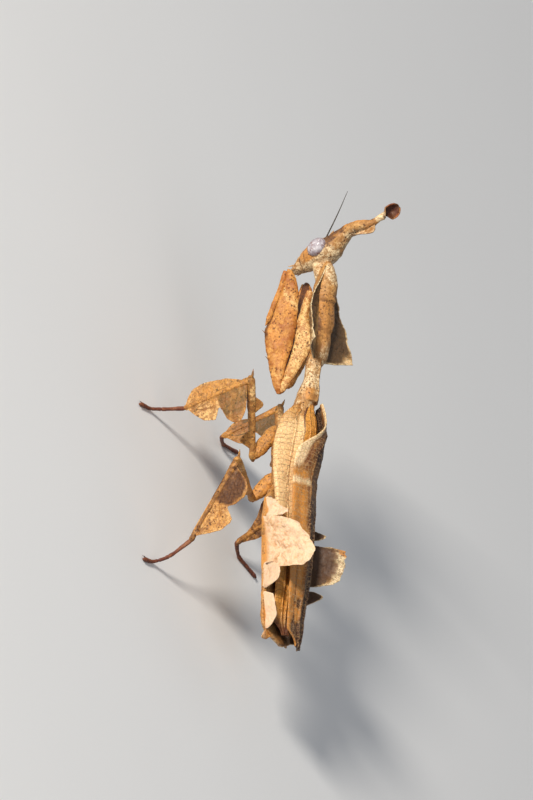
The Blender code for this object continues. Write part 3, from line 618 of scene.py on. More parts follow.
def wing_points(x, angle, depth):
    """Points of the wing arch at one X: angle 0 is the left margin, 90 the ridge, 180 the right."""
    width, low, high = blend(WING_ARCH, x)
    turn = np.radians(angle)
    rise = np.maximum(np.sin(turn), 0) ** 1.1
    return np.stack([np.full_like(angle, x), -(width - depth) * np.cos(turn),
        low + (high - depth - low) * rise], axis=-1)


def wing_fall(angle):
    """How far the left wing lies below the arch, where the right one covers it."""
    return WING_STEP * np.clip((angle - 10) / 28, 0, 1)


def cross_veins(along, across, veins, spacing, seed):
    """How near each point is to a cross vein between two long veins, 0 to 1."""
    draw = np.random.default_rng(seed)
    bands = [0, *veins, 1]
    near = np.zeros_like(along)
    for low, high in zip(bands, bands[1:]):
        inside = (across >= low) & (across <= high)
        share = (across - low) / (high - low)
        place = along.min()
        while place < along.max():
            slant, bow = draw.uniform(-0.34, 0.34), draw.uniform(-0.2, 0.2)
            line = place + slant * (share - 0.5) + bow * np.sin(math.pi * share)
            line = line + 0.03 * np.sin(9 * share + place)
            near = np.maximum(near, np.where(inside, hump(along, line, 0.047), 0))
            place += spacing * draw.uniform(0.7, 1.25)
    return near


def wing_sheet(side, start, end, inner, veins, spacing, seed, tint):
    """One folded fore wing from its outer margin over the ridge, with veins, folds and a rolled rim."""
    xs, vs = np.linspace(start, end, WING_COLUMNS), np.linspace(0, 1, WING_ROWS)
    along, across = np.meshgrid(xs, vs, indexing="ij")
    net = cross_veins(along, across, veins, spacing, seed)
    rise = 0.035 * net
    rear = ramp(along, 9, 5)
    long_veins = np.zeros_like(along)
    for place in veins:
        sway = place + 0.006 * np.sin(along * 0.9 + place * 20)
        long_veins = np.maximum(long_veins, hump(across, sway, 0.0105 + 0.012 * rear))
    rise = rise + (0.1 + 0.14 * rear) * long_veins
    points = []
    for k, x in enumerate(xs):
        tip = float(step_up((x - end + 1.5) / 1.5))
        base = 1 - float(step_up((x - start) / 1.8))
        low = WING_TIP_ANGLES[0] * tip + WING_BASE_ANGLE * base
        reach = float(blend(inner, x)[0]) * (1 - tip) + WING_TIP_ANGLES[1] * tip
        angle = low + (reach - low) * vs
        if side == LEFT:
            depth = wing_fall(angle)
        else:
            rim = ramp(vs, 0.86, 0.14)
            depth = -0.2 * rim * (1 - tip) + 0.04 * hump(vs, 0.84, 0.035) * (1 - tip)
        turn = angle if side == LEFT else 180 - angle
        points.append(wing_points(x, turn, depth + 0.03 - rise[k]))
    points = np.array(points)
    inward = step_up(np.minimum(across, 1 - across) / 0.12)
    points = rumpled(points, False, 0.1 * inward, 0.38, seed)
    points = rumpled(points, False, 0.035, 1.5, seed + 5)
    vein = np.maximum(0.85 * net, 0.1 * long_veins)
    thin = step_up(np.minimum(across, 1 - across) / 0.03)
    return sheet(points, WING_SHEET * (0.5 + 0.5 * thin), vein=vein, **tint(along, across))


def make_wings():
    inner_left = ((-1.9, 100), (4, 118), (23.4, 118))
    inner_right = ((-1.5, 70), (0, 76), (1.3, 87), (2.6, 105), (3.4, 123), (4.1, 135), (5, 138), (15, 138),
        (20, 132), (24.9, 126))

    def left_tint(x, v):
        field = fade(v, 0.47, 0.05)
        panel = ramp(v, 0.47, 0.05) * fade(x, 4.5, 3)
        rear = ramp(x, 9.5, 3.5)
        # Painted shadow: toward the rear, the furrows beside the long veins are darkened.
        furrow = rear * hump(v, 0.545, 0.045)
        return {"pale": 0.9 * field * ramp(x, -1.5, 3.5) * (1 - rear),
            "warm": panel + 0.3 * field * fade(x, 0.5, 1.5) + 0.55 * rear,
            "dark": np.clip(0.95 * hump(v, 0.47, 0.016) * fade(x, 1, 3) + 0.75 * furrow
            + 0.8 * ramp(x, 21.3, 1.8), 0, 1)}

    def right_tint(x, v):
        rim = ramp(v, 0.885, 0.04)
        wide = step_up((v - 0.9 + 0.15 * hump(x, 4.7, 1.7)) / 0.14)
        bright = fade(x, 4.8, 2.4)
        patch = hump(x, 7.6, 0.5) * ramp(v, 0.62, 0.1)
        glass = ramp(x, 8.1, 0.5) * fade(x, 11.4, 0.9) * ramp(v, 0.66, 0.1)
        # Painted shade: the right flank is dark brown, and painted darker still as it lies in shade.
        flank = fade(v, 0.6, 0.2)
        rear = ramp(x, 11.8, 1.5)
        # Painted shadow: toward the rear, the furrows beside the long veins are darkened.
        furrows = rear * np.maximum(hump(v, 0.56, 0.05), hump(v, 0.83, 0.035))
        eye_spot = hump(x, 20.6, 0.55) * hump(v, 0.74, 0.05)
        end = ramp(x, 21.6, 1.8)
        return {"pale": np.maximum(np.maximum(rim, 0.9 * wide) * bright, 0.75 * patch),
            "warm": np.maximum(glass, 0.8 * ramp(v, 0.66, 0.1) * (1 - bright)) + 0.7 * rear * (v > 0.6),
            "dark": np.clip(0.8 * flank + 0.9 * eye_spot + 0.85 * end + 0.7 * furrows - 0.5 * rim, 0, 1)}

    under = palette((0.4, 0.175, 0.045), (0.17, 0.055, 0.014), (0.9, 0.66, 0.37), (0.03, 0.01, 0.006),
        (0.6, 0.24, 0.04))
    cream = palette((0.66, 0.36, 0.12), (0.46, 0.21, 0.055), (0.84, 0.55, 0.26), (0.07, 0.012, 0.008),
        (0.64, 0.28, 0.045))
    left = wing_sheet(LEFT, -1.7, 23.9, inner_left, (0.29, 0.47, 0.62, 0.8), 0.6, 5, left_tint)
    finished("tegmen_left", [left], wing_finish("wing_cream", vein_tone=(0.16, 0.06, 0.025), net=0.28,
        **cream), "wing", "tegmen_L")
    right = wing_sheet(RIGHT, -1.5, 25, inner_right, (0.14, 0.28, 0.45, 0.66), 0.7, 8, right_tint)
    finished("tegmen_right", [right], wing_finish("wing_brown", vein_tone=(0.56, 0.34, 0.15), net=0.9,
        **under), "wing", "tegmen_R")


# Trunk of the body under one skin

PRONOTUM = (
    (-0.02, 0.3, 0.3, 0.45),
    (0.03, 0.78, 0.55, 0.85),
    (0.1, 1.12, 0.9, 1.15),
    (0.2, 1.27, 1.25, 1.35),
    (0.3, 1.15, 1.25, 1.3),
    (0.36, 0.62, 1.1, 1.05),
    (0.46, 0.82, 1, 1),
    (0.7, 0.66, 1, 0.85),
    (0.86, 0.66, 0.95, 0.85),
    (1, 0.9, 1.25, 1.15),
    (1.06, 0.8, 1.2, 1.1),
)


def pronotum_core():
    """The stalk of the prothorax, with its bulge, folds and keel."""
    points = limb((NECK_TOP, PRONOTUM_END), UP, PRONOTUM, sides=96, steps=200)
    t, turn = around(points)
    top = np.maximum(np.sin(TAU * turn), 0)
    folds = hump(t, 0.36, 0.045) * top
    points = raised(points, True, 0.09 * folds * np.sin(150 * t))
    keel = hump(turn, 0.25, 0.022) * ramp(t, 0.42, 0.08)
    points = points + np.array((0, 0, 1)) * (0.14 * keel)[..., None]
    points = rumpled(points, True, 0.075, 1.1, 2)
    bulge = hump(t, 0.17, 0.12) * step_up(top / 0.5)
    stalk = hump(t, 0.74, 0.13)
    facet = ramp(t, 0.8, 0.03) * fade(t, 0.95, 0.03) * hump(turn, 0.09, 0.07)
    collar = ramp(t, 0.93, 0.06)
    # Painted shade: the troughs of the cross folds and the underside about the middle of the stalk are
    # darkened where shade falls.
    return tube(points, pale=np.clip(0.85 * bulge + 0.75 * stalk + 0.4 * collar - facet, 0, 1),
        warm=np.clip(0.95 * facet + 0.55 * hump(t, 0.45, 0.16) + 0.3 * (1 - top) * (1 - stalk), 0, 1),
        dark=(0.45 * folds * (np.sin(150 * t) < -0.3) + 0.5 * hump(t, 0.965, 0.012)
        + 0.85 * hump(t, 0.47, 0.11) * (1 - top) ** 0.5))


def make_shield():
    """The leafy shield of the prothorax: it stands out from the stalk and curls up at its rims."""
    widths = ((0, 0.8), (0.12, 1.3), (0.28, 2.15), (0.45, 3.15), (0.62, 3.95), (0.8, 4.3), (1, 4.5))
    raises = ((0, -0.1), (0.4, 0), (0.6, 0.55), (0.75, 1), (1, 1.85))
    side, up = frame_of(PRONOTUM_END - NECK_TOP, UP)
    us, ss = np.linspace(0, 1, 150), np.linspace(-1, 1, 170)
    width, lift = curve(widths, us)[:, 0], curve(raises, us)[:, 0]
    u, s = np.meshgrid(us, ss, indexing="ij")
    t = 0.02 + u * (0.735 - 0.085 * abs(s))
    teeth = fractal(np.stack([u * 11, np.sign(s) * 3, u * 0], axis=-1), 1.6, 4)
    torn = np.where(s * side[1] > 0, 1, 0.25)
    edge = 1 + torn * (0.04 * np.sin(23 * u) * abs(s) ** 3 + 0.05 * teeth * abs(s) ** 6)
    rise = 0.12 + lift[:, None] * abs(s) ** 1.8 + 0.22 * ramp(abs(s), 0.86, 0.14)
    axis = np.array(NECK_TOP) + t[..., None] * np.array(PRONOTUM_END - NECK_TOP)
    place = axis + (s * width[:, None] * edge)[..., None] * np.array(side) + rise[..., None] * np.array(up)
    out = ramp(abs(s), 0.3, 0.4)
    place = rumpled(place, False, (0.07 + 0.04 * torn) * out, 0.55, 9)
    place = rumpled(place, False, 0.045 * out * torn, 1.9, 13)
    ribs = np.zeros_like(u)
    for k in range(SHIELD_RIBS):
        line = 0.25 + 0.16 * k + 0.16 * abs(s)
        ribs = np.maximum(ribs, hump(u, line, 0.012) * ramp(abs(s), 0.35, 0.2))
    place = raised(place, False, 0.06 * ribs)
    rim = np.maximum(ramp(abs(s), 0.93, 0.07), ramp(u, 0.965, 0.035))
    corner = ramp(abs(s), 0.6, 0.4) * ramp(u, 0.76, 0.24)
    pale = np.maximum(0.7 * rim, 0.6 * corner)
    # Painted shade: away from the middle, rims and corners, the shield's upper face and underside are
    # darkened where they lie in shade, and the far half (+Y) darker still.
    shaded_hollow = ramp(abs(s), 0.25, 0.2) * (1 - rim) * (1 - corner)
    streak = hump(abs(s), 0.52, 0.09) * hump(u, 0.55, 0.25)
    far = np.where(s * side[1] > 0, 0.28, 0)
    dark = np.stack([(0.62 + far) * shaded_hollow * (1 - 0.7 * streak), (0.7 + far) * shaded_hollow])
    warm = np.stack([0.9 * streak, 0.2 * shaded_hollow])
    body = sheet(place, 0.17 - 0.09 * rim, pale=pale, dark=dark, warm=warm, vein=0.3 * ribs)
    colours = dict(TAN, deep=(0.2, 0.11, 0.045), dark=(0.06, 0.032, 0.014))
    finished("shield", [body], chitin("shield_leaf", speck=0.5, roughness=0.6, soft=0.1, grit=0.15,
        **colours), "body", "pronotum")


def thorax_core():
    """The thorax, which fills the room below the folded wings."""
    floor_line = ((-2.4, 12.4), (-1.4, 11.5), (0, 10.2), (1.5, 9.4), (3.5, 9), (5.5, 8.8), (7.6, 8.7))
    rings = []
    for x in np.linspace(THORAX_START, THORAX_END, 110):
        floor = float(blend(floor_line, x)[0])
        upper = np.linspace(2, 178, 48)
        clear = 0.5 + 0.45 * (1 - float(step_up((x - THORAX_START) / 2.5)))
        under = wing_fall(upper) * fade(upper, 128, 14)
        roof = wing_points(x, upper, clear + under)
        width, middle = roof[-1][1], roof[-1][2]
        turn = np.radians(np.linspace(176, 4, 48))
        plates = 1 + 0.05 * np.sin(x * 2.1) * np.sin(2 * turn) ** 2
        belly = np.stack([np.full_like(turn, x), -width * np.cos(turn),
            middle - (middle - floor) * np.sin(turn) * plates], axis=-1)
        rings.append(np.concatenate([roof, belly]))
    points = rumpled(np.array(rings), True, 0.06, 1.2, 3)
    # Painted shade: the roof, under the folded wings, is darkened.
    return tube(points, dark=0.35 * (around(points)[1] < 0.5), warm=0.3)


ABDOMEN = (
    (ABDOMEN_START - 0.5, 9.75, 2, 0.9, 1),
    (ABDOMEN_START, 9.65, 2.3, 1, 1.15),
    (8.4, 9.35, 3.3, 0.75, 1.25),
    (9.8, 9.05, 4, 0.7, 1.25),
    (11.5, 8.75, 4.15, 0.7, 1.2),
    (14, 8.4, 4.15, 0.65, 1.15),
    (18.4, 7.65, 3.85, 0.45, 1.1),
    (21, 7.05, 3.5, 0.3, 1),
    (23, 6.65, 3.15, 0.25, 0.75),
    (23.8, 6.7, 2, 0.25, 0.5),
    (24.5, 6.9, 0.5, 0.2, 0.3),
)
SEGMENT = 2.1


def abdomen_core():
    """The abdomen, one swelling for each segment."""
    rings = []
    for x in np.linspace(ABDOMEN[0][0], ABDOMEN[-1][0], 230):
        height, width, rise, drop = blend(ABDOMEN, x)
        phase = ((x - ABDOMEN_START) / SEGMENT) % 1
        plate = 1 + 0.07 * phase - 0.1 * math.exp(-((phase / 0.08) ** 2))
        side_step = 1 + 0.02 * phase
        rings.append(ring((x, 0, height), (0, 1, 0), (0, 0, 1), width * side_step, rise, drop * plate, 96))
    points = rumpled(np.array(rings), True, 0.07, 0.9, 6)
    turn = around(points)[1]
    x = points[..., 0]
    below = np.maximum(-np.sin(TAU * turn), 0)
    flank = abs(np.cos(TAU * turn)) ** 3
    seam = hump(((x - ABDOMEN_START) / SEGMENT) % 1, 0, 0.05)
    # Painted shade: the top, under the folded wings, is darkened; the dark seams between the segments on
    # the belly are the animal's own.
    return tube(points, warm=0.55 * flank, pale=0.55 * below + 0.3 * flank,
        dark=np.clip(0.55 * np.maximum(np.sin(TAU * turn), 0) + 0.4 * seam * below, 0, 1))


HEAD = (
    (13.4, -17.3, -17.05, 0.2),
    (13.6, -17.55, -16.9, 0.5),
    (14.3, -18.15, -16.85, 0.85),
    (15.1, -18.85, -16.8, 1.2),
    (16.4, -19.55, -16.85, 1.6),
    (17.8, -19.7, -16.95, 1.75),
    (18.9, -19.85, -17.4, 1.45),
    (19.9, -20.25, -18.4, 1.2),
    (20.9, -20.45, -19.2, 1.05),
    (22, -20.42, -19.2, 1.05),
    (22.8, -20.3, -19.2, 0.9),
    (23.4, -20.2, -19.35, 0.55),
    (23.9, -20.05, -19.6, 0.25),
)


def head_core():
    """The head from the mouth up to the crest."""
    rings = []
    for z in np.linspace(HEAD[0][0], HEAD[-1][0], 190):
        front, back, width = blend(HEAD, z)
        pinch = 1 - 0.18 * math.exp(-(((z - 20.4) / 1.1) ** 2))
        rings.append(ring(((front + back) / 2, 0, z), (0, 1, 0), (1, 0, 0), width * pinch,
            (back - front) / 2, (back - front) / 2, 96))
    points = np.array(rings)
    turn = around(points)[1]
    z = points[..., 2]
    brow = np.maximum(-np.sin(TAU * turn), 0)
    back = np.maximum(np.sin(TAU * turn), 0)
    side = abs(np.cos(TAU * turn))
    ridge = hump(side, 0.78, 0.1) * brow * ramp(z, 18.4, 0.8) * fade(z, 22.6, 0.6)
    fold = hump(side, 0.35, 0.08) * back * ramp(z, 19.5, 1)
    mouth = hump(z, 14.95, 0.07) + hump(z, 15.6, 0.06) * side
    points = raised(points, True, 0.2 * ridge - 0.09 * fold - 0.08 * mouth)
    points = rumpled(points, True, 0.07, 1.5, 1)
    crest = ramp(z, 18.6, 0.8)
    band = ramp(brow, 0.25, 0.3) * crest
    cheek = hump(z, 16, 1.1) * step_up((brow + side) / 0.9) * fade(back, 0.5, 0.3)
    red = step_up((0.28 - np.sin(TAU * turn)) / 0.25) * ramp(z, 17.9, 0.4) * fade(z, 20.2, 0.8)
    return tube(points, pale=np.clip(0.85 * back * (1 - 0.3 * crest) + 0.4 * (1 - crest) - 0.6 * cheek, 0,
        1), warm=np.clip(0.8 * band + 0.85 * cheek + 0.6 * red, 0, 1),
        dark=np.clip(0.66 * red + 0.2 * band + 0.85 * mouth, 0, 1))


def make_body():
    neck = limb(((-18.2, 0, 16.6), (-16.6, 0, 16.75), (-14.6, 0, 16.9)), UP,
        ((0, 0.6, 0.6, 0.7), (0.45, 0.78, 0.78, 0.82), (1, 0.75, 0.75, 0.8)), 48, 40, rumple=(0.06, 1.6, 5))
    waist = limb(((-3.2, 0, 13.85), (-1.4, 0, 13.05), (0.9, 0, 12.5)), UP,
        ((0, 0.85, 1.15, 1.05), (0.4, 0.84, 1.25, 1.3), (1, 0.7, 1.2, 1.4)), 64, 60, rumple=(0.06, 1.3, 8))
    saddle = limb(((-13.4, 0.15, 16.6), (-12, 0.2, 16.6), (-10.7, 0.3, 16.6), (-8.9, 0.45, 16.5)), UP,
        ((0, 0.75, 0.9, 1), (0.3, 1, 1.1, 1.42), (0.6, 0.8, 1, 1.2), (0.85, 0.5, 0.9, 0.78),
        (1, 0.16, 0.6, 0.3)), 72, 90, rumple=(0.09, 1.2, 12))
    keel = limb(((-9.6, 0.45, 16.4), (-7.7, 0.5, 15.9), (-5.4, 0.2, 14.95)), UP,
        ((0, 0.3, 0.6, 0.55), (0.25, 0.46, 0.8, 0.75), (0.65, 0.42, 0.8, 0.8), (1, 0.1, 0.6, 0.4)), 56, 60,
        rumple=(0.06, 1.4, 13))
    bared = ramp(keel[..., 0], -8.9, 2.2)
    trunk = [head_core(), tube(neck, pale=0.7), pronotum_core(), tube(saddle, warm=0.6, dark=0.12),
        tube(keel, pale=0.6 * bared, warm=0.6 * (1 - bared)), thorax_core(),
        tube(waist, pale=0.45, warm=0.3), abdomen_core()]
    skin = fused(trunk)
    colours = dict(TAN, base=(0.62, 0.35, 0.12))
    finished("body_skin", [skin], chitin("body_cuticle", speck=0.8, mottle=0.8, **colours), "body", "head",
        "neck", "pronotum", "thorax", "abdomen")


def make_crest():
    """The curled spoon at the tip of the head's crest, on its twisted stalk, and the lobe below it."""
    us, vs = np.linspace(0, 1, 110), np.linspace(-1, 1, 56)
    route = ((0, -19.75, 0, 22.7), (0.3, -19.9, 0, 23.7), (0.5, -20.15, -0.05, 24.5),
        (0.75, -20.42, -0.05, 25.6), (1, -20.7, 0, 26.72))
    widths = ((0, 0.5), (0.2, 0.3), (0.34, 0.32), (0.5, 0.42), (0.6, 0.58), (0.72, 0.8), (0.83, 0.86),
        (0.93, 0.7), (0.98, 0.46), (1, 0.2))
    open_to = Vector((0.62, -0.7, 0.35)).normalized()
    points = []
    for u in us:
        centre = Vector(blend(route, u))
        ahead = heading(route, u).normalized()
        twist = math.radians(SPOON_TWIST) * (1 - float(ramp(u, 0.48, 0.3)))
        facing = (open_to - ahead * open_to.dot(ahead)).normalized()
        facing = Matrix.Rotation(twist, 3, ahead) @ facing
        side = ahead.cross(facing)
        width = float(blend(widths, u)[0])
        wrap = 1.15 + 0.95 * float(hump(u, 0.55, 0.17)) + 0.3 * float(ramp(u, 0.7, 0.15))
        turn = vs * wrap
        radius = width / wrap * 1.35
        offset = np.outer(np.sin(turn) * radius, side) + np.outer((1 - np.cos(turn)) * radius - 0.28,
            facing)
        points.append(np.array(centre) + offset)
    points = rumpled(np.array(points), False, 0.045, 2, 21)
    u, v = np.meshgrid(us, abs(vs), indexing="ij")
    spoon = ramp(u, 0.33, 0.1)
    stalk = hump(u, 0.24, 0.1)
    outside = 0.85 * stalk + 0.1 * spoon + 0.7 * hump(u, 0.62, 0.05) * v
    inside = 0.9 * spoon * (1 - 0.5 * hump(u, 0.86, 0.09) * v) + 0.8 * stalk
    rim = ramp(v, 0.95, 0.05) * spoon
    bowl = ramp(u, 0.64, 0.1)
    dark = np.stack([outside + 0.45 * bowl, inside * (1 - 0.6 * rim)])
    pale = np.stack([0.95 * spoon * (1 - 0.8 * bowl), 0.3 * rim])
    warm = np.stack([0.15 + 0.6 * bowl, 0.8 * spoon * hump(u, 0.88, 0.1)])
    spoon_sheet = sheet(points, 0.13, dark=dark, pale=pale, warm=warm)
    lobe = leaf(((-19.25, 0, 21.3), (-19.5, 0, 23.7)), (1, -0.3, 0.2),
        ((0, 0.1), (0.3, 0.4), (0.6, 0.75), (0.88, 0.88), (1, 0.55)), crease=0.04, seed=31, thick=0.3,
        tint=lambda u, v, edge: {"pale": 0.5 + 0.2 * edge, "warm": 0.35})
    colours = dict(TAN, dark=(0.055, 0.012, 0.008), warm=(0.36, 0.09, 0.03))
    finished("crest", [spoon_sheet, lobe],
        chitin("crest_leaf", speck=0.4, roughness=0.5, grit=0.1, **colours), "head", "head")


def make_face():
    """Palps, jaws and the ridges beside the eyes."""
    shells = []
    for side in (LEFT, RIGHT):
        shells.append(spike((-17.5, side * 0.55, 14.75), (0.35, side * 0.25, -1), 1.35, 0.15, 12,
            Vector((0.12, 0, 0)), pale=0.4))
        shells.append(spike((-17.75, side * 0.3, 14.3), (-0.05, side * 0.15, -1), 1.1, 0.13, 12, pale=0.3))
        jaw = limb(((-18.2, side * 0.95, 15.7), (-18, side * 0.75, 14.9), (-17.75, side * 0.35, 14.15)), UP,
            ((0, 0.1, 0.1, 0.1), (0.2, 0.34, 0.3, 0.3), (0.7, 0.26, 0.25, 0.26), (1, 0.08, 0.08, 0.08)), 20,
            30, rumple=(0.04, 2, 7))
        shells.append(tube(jaw, pale=0.45, warm=0.3))
        shells.append(spike((-19.5, side * 0.72, 18.75), (-0.45, side * 0.5, 0.8), 0.85, 0.24, 14, pale=0.3,
            warm=0.3))
    finished("mouthparts", shells, chitin("mouth_cuticle", speck=0.7, **TAN), "head", "head")


def make_eyes():
    finish = eye_finish()
    long, wide, tall = EYE_SIZE
    for name, node, side in (("eye_left", "eye_L", LEFT), ("eye_right", "eye_R", RIGHT)):
        turns = np.linspace(0, TAU, 97)[:-1]
        high = np.linspace(0.03, math.pi - 0.03, 60)
        a, b = np.meshgrid(high, turns, indexing="ij")
        x, y, z = long * np.sin(a) * np.cos(b), wide * np.sin(a) * np.sin(b), tall * np.cos(a)
        points = np.stack([x * math.cos(EYE_TILT) + z * math.sin(EYE_TILT), y,
            z * math.cos(EYE_TILT) - x * math.sin(EYE_TILT)], axis=-1)
        towards = Vector((0.5, side, 0.35)).normalized()
        facing = points @ np.array(towards)
        points = points + np.array(EYE_CENTRE) * (1, side, 1)
        finished(name, [tube(points, dark=hump(facing, 0.95, 0.06))], finish, "eye", node)


def make_antennae():
    colours = dict(FOOT, base=(0.06, 0.05, 0.03), deep=(0.03, 0.025, 0.015), warm=(0.08, 0.06, 0.03))
    finish = chitin("feeler", speck=0.2, roughness=0.5, **colours)
    for name, node, side, tip in (("feeler_left", "antenna_L", LEFT, (-23.35, -2, 21.95)),
            ("feeler_right", "antenna_R", RIGHT, (-21.75, 4.15, 20.55))):
        base, tip = Vector((-19.15, side * 0.7, 17.9)), Vector(tip)
        route = (base, base.lerp(tip, 0.5) + Vector((-0.15, 0, 0.2)), tip)
        thread = limb(route, Vector((0, 1, 0)),
            even((0, 0.24), (0.06, 0.2), (0.1, 0.08), (0.5, 0.06), (1, 0.025)), 12, 260,
            bumps=lambda t: 1 + 0.14 * math.sin(TAU * FEELER_JOINTS * t))
        finished(name, [tube(thread, dark=0.3)], finish, "foot", node)


# Lobes of the abdomen

def margin(x, side):
    """A point on the side margin of the abdomen."""
    height, width = blend(ABDOMEN, x)[:2]
    return Vector((x, side * float(width), float(height)))


def make_lobes():
    upright, leaning = 11, 36
    left, right = [], []

    def add(into, side, x1, x2, lean, heights, **shape):
        out = Vector((0, side * math.sin(math.radians(lean)), math.cos(math.radians(lean))))
        into.append(leaf((margin(x1, side), margin(x2, side)), out, heights, **shape))

    front = ((0, 0.5), (0.15, 2.7), (0.6, 2), (1, 0.5))
    big_left = ((0, 0.4), (0.07, 1.6), (0.15, 3), (0.28, 4.6), (0.47, 5.5), (0.78, 6.5), (0.92, 6.2),
        (1, 5.2))
    big_right = ((0, 3.4), (0.06, 4.9), (0.3, 4.9), (0.65, 4.5), (0.85, 3.9), (1, 1.6))
    middle = ((0, 0.4), (0.15, 1.7), (0.45, 3), (0.7, 2.8), (1, 0.6))
    pointed = ((0, 1.6), (0.2, 2.6), (0.6, 1.7), (1, 0.4))
    strip = ((0, 0.3), (0.12, 1.4), (0.6, 1.7), (0.9, 0.9), (1, 0.3))
    low = ((0, 0.3), (0.2, 0.8), (0.9, 0.6), (1, 0.3))

    def beige(u, v, edge):
        root = fade(v, 0.02, 0.17)
        return {"pale": np.clip(0.5 + 0.3 * ramp(v, 0.3, 0.5) - root, 0, 1), "warm": 0.85 * root}

    def brown_spotted(u, v, edge):
        tints = beige(u, v, edge)
        tints["dark"] = 0.8 * hump(u, 0.12, 0.07) * ramp(v, 0.35, 0.2)
        tints["pale"] = tints["pale"] + 0.2
        return tints

    # Painted shade: the far lobes lie in shade, so their brown is painted darker, with a paler free tip.
    def dusky_and_shaded(u, v, edge):
        tip = ramp(v, 0.6, 0.35)
        corner = hump(u, 0.08, 0.12) * ramp(v, 0.78, 0.15)
        return {"pale": np.clip(0.7 * tip + 0.3 * edge, 0, 1), "warm": corner,
            "dark": np.clip(0.8 * (1 - tip) * (1 - corner) + 0.12, 0, 1)}

    # Painted shade: a far lobe darkened all over, its thin rim left pale.
    def shaded_lobe(u, v, edge):
        return {"pale": 0.9 * ramp(edge, 0.75, 0.25), "dark": 0.95 * fade(edge, 0.6, 0.3)}

    def cream(u, v, edge):
        root = fade(v, 0.15, 0.15)
        return {"pale": 0.95 * (1 - root), "warm": 0.9 * root}

    def dark_tipped(u, v, edge):
        tints = cream(u, v, edge)
        tints["dark"] = 0.85 * fade(u, 0.03, 0.12) * ramp(v, 0.4, 0.3)
        return tints

    cupped = ((0, 0.5), (0.15, 1.2), (0.4, 1.7), (0.65, 2.8), (0.85, 3.2), (1, 2.7))
    add(left, LEFT, 9.3, 11.6, upright, cupped, skew=0.15, curl=-0.2, ripple=0.35, phase=0.6, crease=0.2,
        seed=41, tint=dark_tipped)
    add(left, LEFT, 11.35, 17.3, upright, big_left, skew=0.06, fan=0.1, ripple=0.25, crease=0.2, curl=-0.1,
        ragged=0.012, seed=42, tint=beige, columns=150, rows=130,
        ribs=(((0.1, 0.05), (0.35, 0.8), 0.02), ((0.4, 0.05), (0.7, 0.85), 0.02),
        ((0.75, 0.05), (0.95, 0.7), 0.02)))
    add(left, LEFT, 16.7, 19.3, 2.6 * upright, middle, fan=0.3, crease=0.08, seed=43, tint=brown_spotted)
    add(left, LEFT, 19.7, 23.4, 1.8 * upright, strip, ripple=0.1, crease=0.07, seed=44, tint=cream)
    add(right, RIGHT, 9.9, 11.3, leaning, front, skew=0.3, crease=0.07, seed=45, tint=shaded_lobe)
    add(right, RIGHT, 11.9, 16.6, leaning, big_right, skew=0.06, ripple=0.3, phase=1, crease=0.09, curl=0.2,
        ragged=0.03, seed=46, tint=dusky_and_shaded, columns=130, rows=100)
    add(right, RIGHT, 17, 19, leaning, pointed, crease=0.07, seed=47, tint=shaded_lobe)
    add(right, RIGHT, 19.4, 23.4, leaning, low, crease=0.05, seed=48, tint=shaded_lobe)
    for into, side, reach in ((left, LEFT, 2.6), (right, RIGHT, 1.1)):
        root = (Vector((22.9, side * 1.7, 6.65)), Vector((23.7, side * 1.2, 6.6)))
        into.append(leaf(root, (0.53, side * 0.82, -0.25),
            ((0, reach * 0.5), (0.45, reach), (1, reach * 0.6)), cup=0.08 * side, crease=0.1, seed=49,
            tint=lambda u, v, edge: {"warm": 0.6, "pale": 0.5 * v}))
    beige_leaf = chitin("lobe_beige", speck=0.12, grain=0.03, roughness=0.6, soft=0.15, crinkle=0.1,
        mottle=0.12, grit=0.1, **BEIGE)
    finished("lobes_left", left, beige_leaf, "lobe", "abdomen")
    # The far lobes mix from darker tones: their own brown, deepened as painted shade.
    colours = dict(TAN, deep=(0.16, 0.075, 0.03), dark=(0.07, 0.035, 0.02))
    finished("lobes_right", right, chitin("lobe_dusky", speck=0.7, speck_size=4.5, soft=0.1, **colours),
        "lobe", "abdomen")


# Legs

def finish_leg(name, shells, finish, foot, toes):
    """The skin of a leg and its foot, as two pieces."""
    finished(name + "_skin", shells, finish, "leg", name + "_coxa", name + "_femur", name + "_tibia")
    finished(name + "_foot", foot, toes, "foot", name + "_tarsus")


